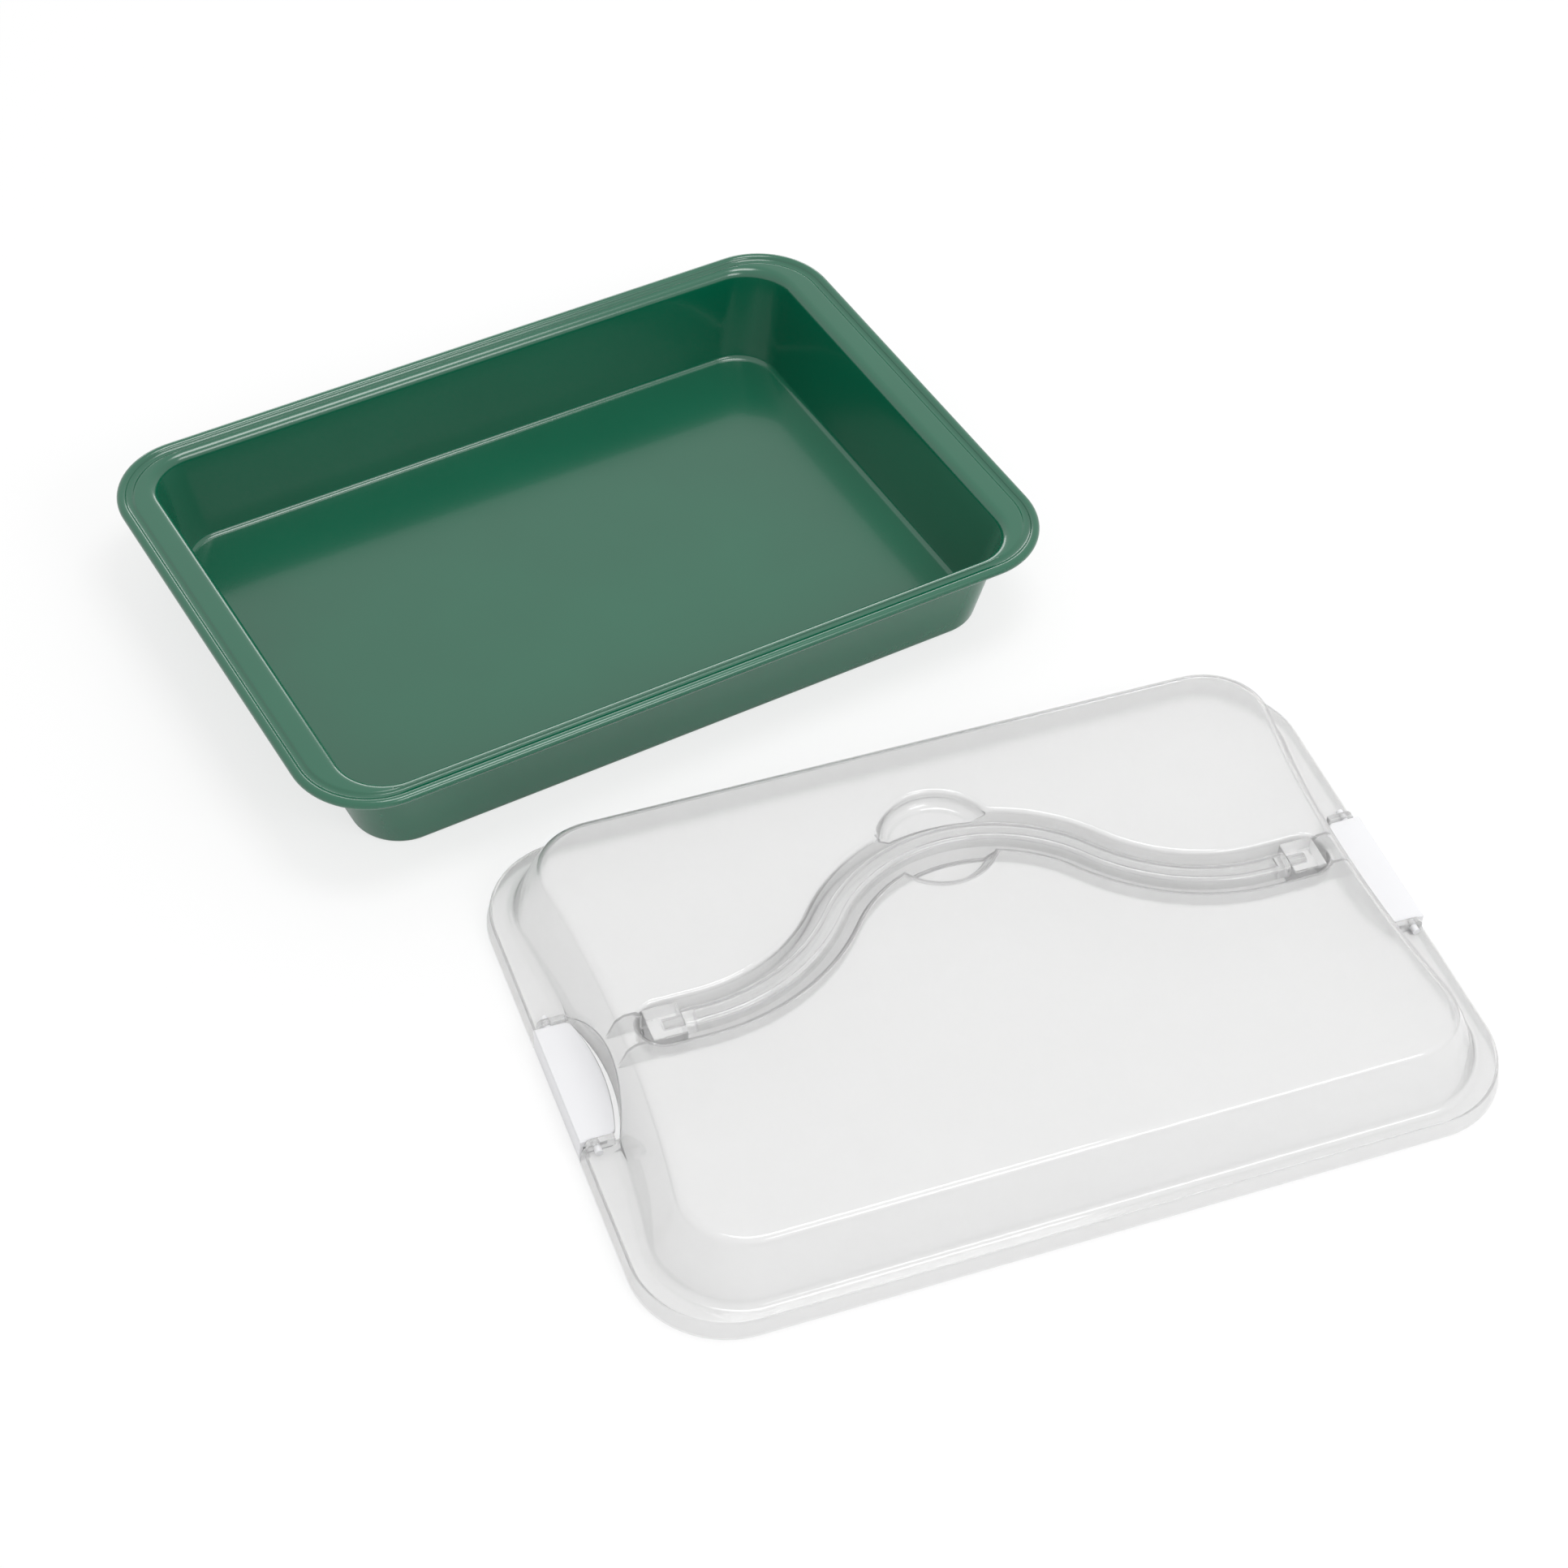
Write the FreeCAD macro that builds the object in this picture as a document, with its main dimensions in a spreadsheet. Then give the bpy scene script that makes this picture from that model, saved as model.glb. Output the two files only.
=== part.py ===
import FreeCAD, Part
import math
import os
import Sketcher
from FreeCAD import Placement, Rotation, Vector

# Cake pan with a lid that carries it.
#
# The pan is one drawn sheet of steel with a flat rim, wide at the ends and
# narrow at the sides, whose edge is rolled into a bead. The lid is one clear
# moulding: a skirt that drops over the bead, a flat ledge, and a dome whose end
# walls curve inwards. A bell shaped channel in the dome's top holds the carry
# handle, a round dish gives room for fingers, and a pocket at each end holds a
# rocking latch. The lid stands on the table beside the pan, taken off.
#
# The frame's origin is the middle of the pan's underside, with Z up, X along the
# pan's length and Y across it. The lid's pieces are drawn about the middle of
# the lid's own foot and share one placement.

SIZES = {
    # Pan
    "pan_length": 420.0,
    "pan_width": 290.0,
    "pan_height": 56.0,
    "sheet": 0.8,
    "rim_corner": 42.0,
    "bead": 5.0,
    "bead_rise": 1.0,
    "end_flange": 22.0,
    "side_flange": 13.0,
    "pan_corner": 25.0,
    "end_draft": 10.0,
    "side_draft": 7.2,
    "floor_bend": 6.0,
    "lip_bend": 4.5,
    # Lid
    "lid_height": 41.0,
    "wall": 1.5,
    "skirt_height": 10.0,
    "skirt_draft": 1.4,
    "rim_clearance": 1.1,
    "end_ledge": 11.0,
    "side_ledge": 7.0,
    "end_slope": 14.0,
    "side_slope": 11.5,
    "foot_corner": 53.0,
    "foot_bend": 3.0,
    "top_corner": 35.0,
    "end_curve": 650.0,
    "end_bow": 5.9,
    "top_bend": 3.0,
    "shoulder_bend": 1.2,
    # Channel, dish and bearings in the lid
    "channel_width": 23.0,
    "channel_depth": 14.2,
    "channel_bend": 4.0,
    "channel_past": 9.0,
    "channel_lip": 2.8,
    "face_inset": 0.2,
    "dish_radius": 28.0,
    "dish_depth": 9.0,
    "dish_bend": 5.0,
    "bearing_length": 16.5,
    "bearing_width": 18.0,
    "bearing_drop": 0.7,
    "rib": 1.4,
    "rib_drop": 14.0,
    # Handle
    "handle_inset": 57.0,
    "bar_width": 11.6,
    "bar_height": 8.4,
    "bar_chamfer": 2.8,
    "bar_drop": 0.8,
    "groove_width": 5.6,
    "groove_depth": 1.4,
    "hollow_width": 6.4,
    "hollow_depth": 4.8,
    "handle_eye": 6.0,
    "pin_radius": 3.0,
    "pin_length": 9.0,
    "pin_clearance": 0.1,
    "side_clearance": 0.4,
    # Latches
    "latch_length": 69.0,
    "latch_rise": 4.5,
    "latch_plate": 2.0,
    "latch_wall": 1.8,
    "latch_depth": 22.5,
    "latch_bulge": 5.5,
    "latch_corner": 4.0,
    "latch_edge": 0.7,
    "foot_gap": 0.6,
    "hook_reach": 3.4,
    "hook_height": 1.8,
    "notch_clearance": 0.6,
    "pocket_reach": 38.0,
    "pocket_bulge": 8.0,
    "pocket_gap": 3.2,
    "cheek": 1.8,
    "cheek_height": 2.4,
    "cheek_length": 11.0,
    "trunnion_radius": 1.8,
    "trunnion_length": 7.0,
    "trunnion_inset": 7.4,
    "ear": 3.0,
    "ear_length": 13.5,
    # Where the lid stands on the table, from the middle of the pan
    "lid_right": 38.0,
    "lid_forward": 340.0,
    "lid_turn": 10.0,
}

doc = FreeCAD.newDocument("CakePanWithLid")
sheet = doc.addObject("Spreadsheet::Sheet", "Sizes")
for row, (alias, number) in enumerate(SIZES.items(), start=1):
    sheet.set("A%d" % row, alias)
    sheet.set("B%d" % row, str(number))
    sheet.setAlias("B%d" % row, alias)
doc.recompute()


class Size:
    """A length worked out from the sheet: its number now, and the formula that it is bound by."""

    def __init__(self, number, text):
        self.number = number
        self.text = text

    @staticmethod
    def of(other):
        return other if isinstance(other, Size) else Size(float(other), repr(float(other)))

    def join(self, other, sign, number):
        return Size(number, "(%s %s %s)" % (self.text, sign, other.text))

    def __add__(self, other):
        other = Size.of(other)
        return self.join(other, "+", self.number + other.number)

    def __sub__(self, other):
        other = Size.of(other)
        return self.join(other, "-", self.number - other.number)

    def __mul__(self, other):
        other = Size.of(other)
        return self.join(other, "*", self.number * other.number)

    def __truediv__(self, other):
        other = Size.of(other)
        return self.join(other, "/", self.number / other.number)

    def __neg__(self):
        return self * -1

    __radd__ = __add__
    __rmul__ = __mul__


def cell(alias):
    return Size(float(sheet.get(alias)), "Sizes.%s" % alias)


def root(size):
    return Size(math.sqrt(size.number), "sqrt(%s)" % size.text)


def bind(thing, prop, size):
    thing.setExpression(prop, size.text)


def measure(sketch, kind, places, size):
    """Adds one dimension to a sketch and binds it to the sheet."""
    index = sketch.addConstraint(Sketcher.Constraint(kind, *places, size.number))
    sketch.setExpression("Constraints[%d]" % index, size.text)
    return index


PLANES = {
    "XY": (Rotation(), lambda level: Vector(0, 0, level)),
    "XZ": (Rotation(Vector(1, 0, 0), 90), lambda level: Vector(0, -level, 0)),
    "YZ": (Rotation(0.5, 0.5, 0.5, 0.5), lambda level: Vector(level, 0, 0)),
}
LEVEL_PATHS = {"XY": "z", "XZ": "y", "YZ": "x"}


def new_sketch(owner, name, plane, level):
    """A sketch on one of a body's own origin planes, or standing free where no body owns it."""
    if owner is None:
        sketch = doc.addObject("Sketcher::SketchObject", name)
        turn, place = PLANES[plane]
        sketch.Placement = Placement(place(level.number), turn)
        offset = -level if plane == "XZ" else level
        bind(sketch, "Placement.Base.%s" % LEVEL_PATHS[plane], offset)
        return sketch
    sketch = owner.newObject("Sketcher::SketchObject", name)
    datum = [item for item in owner.Origin.OriginFeatures if item.Role == plane + "_Plane"][0]
    sketch.AttachmentSupport = [(datum, "")]
    sketch.MapMode = "FlatFace"
    bind(sketch, "AttachmentOffset.Base.z", level)
    return sketch


def arc_of(centre, radius, start, end):
    """A sketch arc, counterclockwise, between two angles in degrees."""
    circle = Part.Circle(centre, Vector(0, 0, 1), radius)
    return Part.ArcOfCircle(circle, math.radians(start), math.radians(end))


def rounded_outline(owner, name, level, length, width, corner):
    """A rounded rectangle about the origin."""
    sketch = new_sketch(owner, name, "XY", level)
    a = length.number / 2
    b = width.number / 2
    r = corner.number
    bottom, low_right, right, high_right, top, high_left, left, low_left = range(8)
    sketch.addGeometry(Part.LineSegment(Vector(-a + r, -b, 0), Vector(a - r, -b, 0)))
    sketch.addGeometry(arc_of(Vector(a - r, -b + r, 0), r, 270, 360))
    sketch.addGeometry(Part.LineSegment(Vector(a, -b + r, 0), Vector(a, b - r, 0)))
    sketch.addGeometry(arc_of(Vector(a - r, b - r, 0), r, 0, 90))
    sketch.addGeometry(Part.LineSegment(Vector(a - r, b, 0), Vector(-a + r, b, 0)))
    sketch.addGeometry(arc_of(Vector(-a + r, b - r, 0), r, 90, 180))
    sketch.addGeometry(Part.LineSegment(Vector(-a, b - r, 0), Vector(-a, -b + r, 0)))
    sketch.addGeometry(arc_of(Vector(-a + r, -b + r, 0), r, 180, 270))
    for geo in range(8):
        sketch.addConstraint(Sketcher.Constraint("Tangent", geo, 2, (geo + 1) % 8, 1))
    for line in (bottom, top):
        sketch.addConstraint(Sketcher.Constraint("Horizontal", line))
    for line in (left, right):
        sketch.addConstraint(Sketcher.Constraint("Vertical", line))
    for arc in (high_right, high_left, low_left):
        sketch.addConstraint(Sketcher.Constraint("Equal", low_right, arc))
    sketch.addConstraint(Sketcher.Constraint("Symmetric", low_right, 3, high_left, 3, -1, 1))
    measure(sketch, "DistanceX", (left, 1, right, 1), length)
    measure(sketch, "DistanceY", (bottom, 1, top, 1), width)
    measure(sketch, "Radius", (low_right,), corner)
    return sketch


def pin_point(sketch, geo, end, x, y):
    """Fixes one end of a sketch line or arc at a place that follows the sheet."""
    for kind, axis, size in (("DistanceX", -2, x), ("DistanceY", -1, y)):
        if abs(size.number) < 1e-9:
            sketch.addConstraint(Sketcher.Constraint("PointOnObject", geo, end, axis))
        elif size.number > 0:
            measure(sketch, kind, (-1, 1, geo, end), size)
        else:
            measure(sketch, kind, (geo, end, -1, 1), -size)


def profile(owner, name, plane, level, start, steps):
    """A closed outline of straight lines and arcs through corners that follow the sheet.

    A step is the next corner, alone for a straight line, or with a radius for an arc of less than half
    a turn: positive bends to the left of the way along, negative to the right.
    """
    sketch = new_sketch(owner, name, plane, level)
    ends = []
    here = start
    for index, step in enumerate(steps):
        there = step[:2]
        p = Vector(here[0].number, here[1].number, 0)
        q = Vector(there[0].number, there[1].number, 0)
        if len(step) == 2:
            sketch.addGeometry(Part.LineSegment(p, q))
            ends.append((1, 2))
        else:
            radius = abs(step[2].number)
            way = (q - p).normalize()
            side = Vector(-way.y, way.x, 0) * (1 if step[2].number > 0 else -1)
            rise = math.sqrt(max(radius ** 2 - ((q - p).Length / 2) ** 2, 0))
            centre = (p + q) * 0.5 + side * rise
            from_point, to_point = (p, q) if step[2].number > 0 else (q, p)
            begin = math.degrees(math.atan2(from_point.y - centre.y, from_point.x - centre.x))
            finish = math.degrees(math.atan2(to_point.y - centre.y, to_point.x - centre.x))
            sketch.addGeometry(arc_of(centre, radius, begin, finish if finish > begin else finish + 360))
            ends.append((1, 2) if step[2].number > 0 else (2, 1))
            measure(sketch, "Radius", (index,), step[2] if step[2].number > 0 else -step[2])
        pin_point(sketch, index, ends[index][1], *there)
        here = there
    count = len(steps)
    for index in range(count):
        after = (index + 1) % count
        joined = Sketcher.Constraint("Coincident", index, ends[index][1], after, ends[after][0])
        sketch.addConstraint(joined)
    return sketch


def box(name, low, high):
    """A box between two corners."""
    thing = doc.addObject("Part::Box", name)
    for prop, path, a, b in zip(("Length", "Width", "Height"), "xyz", low, high):
        bind(thing, prop, b - a)
        bind(thing, "Placement.Base.%s" % path, a)
    return thing


def rod(name, axis, start, length, radius):
    """A round bar from a starting point along X, Y or Z."""
    thing = doc.addObject("Part::Cylinder", name)
    turns = {"X": Rotation(Vector(0, 1, 0), 90), "Y": Rotation(Vector(1, 0, 0), -90), "Z": Rotation()}
    thing.Placement = Placement(Vector(), turns[axis])
    for path, size in zip("xyz", start):
        bind(thing, "Placement.Base.%s" % path, size)
    bind(thing, "Height", length)
    bind(thing, "Radius", radius)
    return thing


def set_frustum(thing, low, high, foot, top):
    """Sizes a wedge as an upright frustum, from the length and width of its foot and of its top."""
    thing.Placement = Placement(Vector(), Rotation(Vector(1, 0, 0), 90))
    for prop, size in zip(("Ymin", "Ymax"), (low, high)):
        bind(thing, prop, size)
    for prop, size in zip(("X", "Z", "X2", "Z2"), foot + top):
        bind(thing, prop + "min", -size / 2)
        bind(thing, prop + "max", size / 2)


def frustum(name, low, high, foot, top):
    """A frustum with four plane walls."""
    thing = doc.addObject("Part::Wedge", name)
    set_frustum(thing, low, high, foot, top)
    return thing


def is_corner(edge, height):
    """Whether an edge climbs a wall's whole height."""
    return edge.BoundBox.ZLength > height.number * 0.7


def extrusion(name, sketch, direction, length):
    thing = doc.addObject("Part::Extrusion", name)
    thing.Base = sketch
    thing.DirMode = "Custom"
    thing.Dir = direction
    thing.Solid = True
    bind(thing, "LengthFwd", length)
    return thing


def sweep(name, section, path):
    thing = doc.addObject("Part::Sweep", name)
    doc.recompute()
    thing.Sections = [section]
    thing.Spine = (path, ["Edge%d" % (i + 1) for i in range(len(path.Shape.Edges))])
    thing.Solid = True
    thing.Frenet = False
    return thing


def mirrored(name, source):
    """The same form at the other end of the lid."""
    thing = doc.addObject("Part::Mirroring", name)
    thing.Source = source
    thing.Normal = Vector(1, 0, 0)
    return thing


def fused(name, shapes):
    thing = doc.addObject("Part::MultiFuse", name)
    thing.Shapes = shapes
    return thing


def cut(name, base, tool):
    thing = doc.addObject("Part::Cut", name)
    thing.Base = base
    thing.Tool = tool
    return thing


def filleted(name, base, choices, kind="Part::Fillet"):
    """Rounds the edges that each choice picks: at one radius, or from a low end's to a high end's."""
    doc.recompute()
    thing = doc.addObject(kind, name)
    thing.Base = base
    picked = []
    for low, high, wanted in choices:
        found = [(i, edge) for i, edge in enumerate(base.Shape.Edges, start=1) if wanted(edge)]
        assert found, "%s finds no edge to round" % name
        for i, edge in found:
            climbs = edge.Vertexes[-1].Z >= edge.Vertexes[0].Z
            first, last = (low, high) if climbs else (high, low)
            picked.append((i, first.number, last.number))
    thing.Edges = picked
    return thing


def chamfered(name, base, size, wanted):
    """Cuts the edges that are wanted back by one size on both sides."""
    return filleted(name, base, [(size, size, wanted)], "Part::Chamfer")


def at_level(edge, level, length=None, width=None, slack=0.6):
    """Whether an edge lies level at a height, and within a length and width where they are given."""
    points = edge.discretize(5)
    if any(abs(point.z - level.number) > slack / 10 for point in points):
        return False
    if length is None:
        return True
    inside_x = all(abs(point.x) < length.number / 2 + slack for point in points)
    return inside_x and all(abs(point.y) < width.number / 2 + slack for point in points)


ZERO = Size(0.0, "0")

# Sizes that several pieces share
pan_length = cell("pan_length")
pan_width = cell("pan_width")
pan_height = cell("pan_height")
sheet_gauge = cell("sheet")
bead = cell("bead")
rim_corner = cell("rim_corner")
wall = cell("wall")

# Cake pan: one sheet of steel, drawn, flanged and curled
flange_top = pan_height - cell("bead_rise")
flange_under = flange_top - sheet_gauge
mouth_length = pan_length - cell("end_flange") * 2
mouth_width = pan_width - cell("side_flange") * 2
pan_corner = cell("pan_corner")
floor_length = mouth_length - cell("end_draft") * 2
floor_width = mouth_width - cell("side_draft") * 2
floor_bend = cell("floor_bend")
lip_bend = cell("lip_bend")
gauge_twice = sheet_gauge * 2

pan = doc.addObject("PartDesign::Body", "CakePan")
pan.Label = "cake_pan"


def pan_bend(kind, name, size, wanted):
    """Bends or chamfers the sheet along the edges that are wanted."""
    before = pan.Tip
    edges = ["Edge%d" % i for i, edge in enumerate(before.Shape.Edges, start=1) if wanted(edge)]
    assert edges, "%s finds no edge to bend" % name
    bend = pan.newObject("PartDesign::" + kind, name)
    bend.Base = (before, edges)
    bind(bend, "Radius" if kind == "Fillet" else "Size", size)
    doc.recompute()


bowl = pan.newObject("PartDesign::AdditiveWedge", "Bowl")
set_frustum(bowl, ZERO, flange_under, (floor_length + gauge_twice, floor_width + gauge_twice),
            (mouth_length + gauge_twice, mouth_width + gauge_twice))
doc.recompute()

curl_inset = bead - sheet_gauge
flange_outline = rounded_outline(pan, "FlangeOutline", flange_under, pan_length - curl_inset * 2,
                                 pan_width - curl_inset * 2, rim_corner - curl_inset)
flange = pan.newObject("PartDesign::Pad", "Flange")
flange.Profile = flange_outline
bind(flange, "Length", sheet_gauge)
doc.recompute()

hollow = pan.newObject("PartDesign::SubtractiveWedge", "Hollow")
set_frustum(hollow, sheet_gauge, flange_top, (floor_length, floor_width), (mouth_length, mouth_width))
doc.recompute()


def is_inner(edge):
    return edge.BoundBox.ZMin > sheet_gauge.number / 2


pan_bend("Fillet", "CornersIn", pan_corner, lambda e: is_corner(e, flange_under) and is_inner(e))
pan_bend("Fillet", "CornersOut", pan_corner + sheet_gauge,
         lambda e: is_corner(e, flange_under) and not is_inner(e))
pan_bend("Chamfer", "FloorBendIn", floor_bend, lambda e: at_level(e, sheet_gauge))
pan_bend("Chamfer", "FloorBendOut", floor_bend + sheet_gauge / 2, lambda e: at_level(e, ZERO))
pan_bend("Chamfer", "LipBendIn", lip_bend, lambda e: at_level(e, flange_top, mouth_length, mouth_width))
pan_bend("Chamfer", "LipBendOut", lip_bend - sheet_gauge,
         lambda e: at_level(e, flange_under, mouth_length + gauge_twice, mouth_width + gauge_twice))

# The rim's edge curls down and under in eighths of a turn, and its end stops short of the flange
EIGHTH = math.pi / 4
CURL_START = math.radians(154)
CURL_ANGLES = [CURL_START] + [EIGHTH * count for count in (3, 2, 1, 0, -1, -2, -3)]
curl_radius = bead / 2
curl_inner = curl_radius - sheet_gauge
curl_height = pan_height - curl_radius
curl_middle = pan_length / 2 - curl_radius


def curl_point(radius, angle):
    return curl_middle + radius * math.cos(angle), curl_height + radius * math.sin(angle)


curl_outside = [curl_point(curl_radius, angle) for angle in CURL_ANGLES]
curl_inside = [curl_point(curl_inner, angle) for angle in reversed(CURL_ANGLES)]
curl_profile = profile(pan, "CurlProfile", "XZ", ZERO, curl_outside[-1], curl_inside + curl_outside)
rim_path = rounded_outline(pan, "RimPath", curl_height, pan_length - bead, pan_width - bead,
                           rim_corner - curl_radius)
curl = pan.newObject("PartDesign::AdditivePipe", "Curl")
curl.Profile = curl_profile
curl.Spine = (rim_path, [])
doc.recompute()

# Lid: the outer form is a leaning skirt with a dome on its flange
lid_height = cell("lid_height")
skirt_height = cell("skirt_height")
skirt_draft = cell("skirt_draft")
rim_grip = cell("rim_clearance") + wall + skirt_draft
lid_length = pan_length + rim_grip * 2
lid_width = pan_width + rim_grip * 2
skirt_corner = rim_corner + rim_grip
ledge_length = lid_length - skirt_draft * 2
ledge_width = lid_width - skirt_draft * 2
dome_length = ledge_length - cell("end_ledge") * 2
dome_width = ledge_width - cell("side_ledge") * 2
foot_corner = cell("foot_corner")
top_width = dome_width - cell("side_slope") * 2
top_corner = cell("top_corner")
dome_rise = lid_height - skirt_height
end_lean = cell("end_slope") / dome_rise
side_lean = cell("side_slope") / dome_rise
end_curve = cell("end_curve")
curve_centre = dome_length / 2 - cell("end_bow") + end_curve


def slant(lean):
    """How far it is across a leaning wall, level, for one unit of its thickness."""
    return root(lean * lean + 1)


def bowed(name, plain, low, high, inset):
    """A frustum with its end walls cut to a part of a big cone, so that they curve inwards."""
    end = doc.addObject("Part::Cone", name + "End")
    bind(end, "Radius1", end_curve + inset + (low - wall - skirt_height) * end_lean)
    bind(end, "Radius2", end_curve + inset + (high + wall - skirt_height) * end_lean)
    bind(end, "Height", high - low + wall * 2)
    bind(end, "Placement.Base.x", curve_centre)
    bind(end, "Placement.Base.z", low - wall)
    return cut(name, plain, fused(name + "Ends", [end, mirrored(name + "FarEnd", end)]))


skirt_block = frustum("SkirtBlock", ZERO, skirt_height, (lid_length, lid_width), (ledge_length, ledge_width))
skirt_form = filleted("SkirtForm", skirt_block, [
    (skirt_corner, skirt_corner, lambda e: is_corner(e, skirt_height)),
])
block_length = dome_length + foot_corner * 2
dome_block = frustum("DomeBlock", skirt_height, lid_height, (block_length, dome_width),
                     (block_length, top_width))
dome_cornered = filleted("DomeCornered", bowed("DomeBowed", dome_block, skirt_height, lid_height, ZERO), [
    (foot_corner, top_corner, lambda e: is_corner(e, dome_rise)),
])
top_bend = cell("top_bend")
foot_bend = cell("foot_bend")
shoulder_bend = cell("shoulder_bend")
skirt_soft = chamfered("SkirtSoft", skirt_form, shoulder_bend, lambda e: at_level(e, skirt_height))
dome_soft = chamfered("DomeSoft", dome_cornered, top_bend, lambda e: at_level(e, lid_height))
outer_form = chamfered("OuterForm", fused("PlainForm", [skirt_soft, dome_soft]), foot_bend,
                       lambda e: at_level(e, skirt_height, dome_length, dome_width))

# The moulding's inside follows the outside at one wall
side_step = wall * (slant(side_lean) - side_lean)
ledge_under = skirt_height - wall
roof_under = lid_height - wall
skirt_gain = skirt_draft * ledge_under / skirt_height
room_ledge = (lid_length - (wall + skirt_gain) * 2, lid_width - (wall + skirt_gain) * 2)
room_foot = (block_length, dome_width - side_step * 2)
room_top = (block_length, top_width - side_step * 2)
skirt_gap = frustum("SkirtGap", ZERO, ledge_under, (lid_length - wall * 2, lid_width - wall * 2), room_ledge)
skirt_room = filleted("SkirtRoom", skirt_gap, [
    (skirt_corner - wall, skirt_corner - wall, lambda e: is_corner(e, ledge_under)),
])
dome_gap = frustum("DomeGap", ledge_under, roof_under, room_foot, room_top)
dome_bowed = bowed("DomeGapBowed", dome_gap, ledge_under, roof_under, wall * slant(end_lean))
dome_room = filleted("DomeRoom", dome_bowed, [
    (foot_corner - side_step, top_corner - side_step, lambda e: is_corner(e, dome_rise)),
])
dome_room_soft = chamfered("DomeRoomSoft", dome_room, top_bend - wall / 3,
                           lambda e: at_level(e, roof_under))
room = chamfered("Room", fused("PlainRoom", [skirt_room, dome_room_soft]), foot_bend + wall / 3,
                 lambda e: at_level(e, ledge_under, dome_length, dome_width))

# The bell shaped line that the channel and the handle share
RISE_SHARE = 0.438
CROWN_SHARE = 0.556
VALLEY_SHARE = 0.654
handle_reach = pan_length / 2 - cell("handle_inset")
rise = handle_reach * RISE_SHARE
crown = handle_reach * CROWN_SHARE
valley = handle_reach * VALLEY_SHARE
crown_centre = rise - crown
valley_gap = root((crown + valley) * (crown + valley) - (crown + valley - rise) * (crown + valley - rise))


def bell_line(name, level, reach):
    """A straight end, a valley arc, the crown arc, a valley arc and a straight end."""
    sketch = new_sketch(None, name, "XY", level)
    turn = math.degrees(math.asin(valley_gap.number / (crown.number + valley.number)))
    far = reach.number
    near = valley_gap.number
    sketch.addGeometry(Part.LineSegment(Vector(-far, 0, 0), Vector(-near, 0, 0)))
    sketch.addGeometry(arc_of(Vector(-near, valley.number, 0), valley.number, 270, 270 + turn))
    sketch.addGeometry(arc_of(Vector(0, crown_centre.number, 0), crown.number, 90 - turn, 90 + turn))
    sketch.addGeometry(arc_of(Vector(near, valley.number, 0), valley.number, 270 - turn, 270))
    sketch.addGeometry(Part.LineSegment(Vector(near, 0, 0), Vector(far, 0, 0)))
    for join in ((0, 2, 1, 1), (1, 2, 2, 2), (2, 1, 3, 1), (3, 2, 4, 1)):
        sketch.addConstraint(Sketcher.Constraint("Tangent", *join))
    sketch.addConstraint(Sketcher.Constraint("PointOnObject", 0, 1, -1))
    sketch.addConstraint(Sketcher.Constraint("PointOnObject", 4, 2, -1))
    sketch.addConstraint(Sketcher.Constraint("Horizontal", 0))
    sketch.addConstraint(Sketcher.Constraint("Horizontal", 4))
    sketch.addConstraint(Sketcher.Constraint("PointOnObject", 2, 3, -2))
    measure(sketch, "DistanceX", (0, 1, -1, 1), reach)
    measure(sketch, "DistanceX", (-1, 1, 4, 2), reach)
    measure(sketch, "DistanceY", (2, 3, -1, 1), -crown_centre)
    measure(sketch, "Radius", (2,), crown)
    measure(sketch, "Radius", (1,), valley)
    measure(sketch, "Radius", (3,), valley)
    return sketch


# Channel: the inside is cut from the lid, and one wall is kept round it
channel_half = cell("channel_width") / 2
channel_floor = lid_height - cell("channel_depth")
channel_bend = cell("channel_bend")
channel_lip = cell("channel_lip")
channel_reach = handle_reach + cell("channel_past")
above = lid_height + wall * 2


def gutter_steps(half, floor, bend, lip, both_sides):
    """The outline of a gutter, from its middle, with lower corners and lips at half a right angle."""
    side = [
        (half - bend, floor),
        (half, floor + bend),
        (half, lid_height - lip),
        (half + lip + above - lid_height, above),
    ]
    if not both_sides:
        return (ZERO, floor), side + [(ZERO, above), (ZERO, floor)]
    return (bend - half, floor), side + [(-x, z) for x, z in reversed(side)]


def gutter(name, half, floor, bend, lip, path):
    """The channel's form at one depth of wall: the swept gutter and its two round ends."""
    start, steps = gutter_steps(half, floor, bend, lip, True)
    section = profile(None, name + "Section", "YZ", -channel_reach, start, steps)
    start, steps = gutter_steps(half, floor, bend, lip, False)
    end_section = profile(None, name + "EndSection", "XZ", ZERO, start, steps)
    bind(end_section, "Placement.Base.x", channel_reach)
    end = doc.addObject("Part::Revolution", name + "End")
    end.Source = end_section
    end.Axis = Vector(0, 0, 1)
    bind(end, "Base.x", channel_reach)
    end.Solid = True
    return [sweep(name + "Run", section, path), end, mirrored(name + "FarEnd", end)]


def dish(name, half, floor, bend, lip):
    """The round dish for the fingers at one depth of wall."""
    start, steps = gutter_steps(half, floor, bend, lip, False)
    section = profile(None, name + "Section", "XZ", -rise, start, steps)
    bowl = doc.addObject("Part::Revolution", name)
    bowl.Source = section
    bowl.Axis = Vector(0, 0, 1)
    bind(bowl, "Base.y", rise)
    bowl.Solid = True
    return bowl


dish_half = cell("dish_radius")
dish_floor = lid_height - cell("dish_depth")
dish_bend = cell("dish_bend")
channel_path = bell_line("ChannelPath", channel_floor, channel_reach)
channel_inside = gutter("Channel", channel_half, channel_floor, channel_bend, channel_lip, channel_path)
dish_inside = dish("Dish", dish_half, dish_floor, dish_bend, channel_lip)
mitre = wall * (root(Size.of(2)) - 1)
channel_walls = gutter("ChannelWall", channel_half + wall, channel_floor - wall, channel_bend + mitre,
                       channel_lip + mitre, channel_path)
dish_walls = dish("DishWall", dish_half + wall, dish_floor - wall, dish_bend + mitre, channel_lip + mitre)

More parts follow.
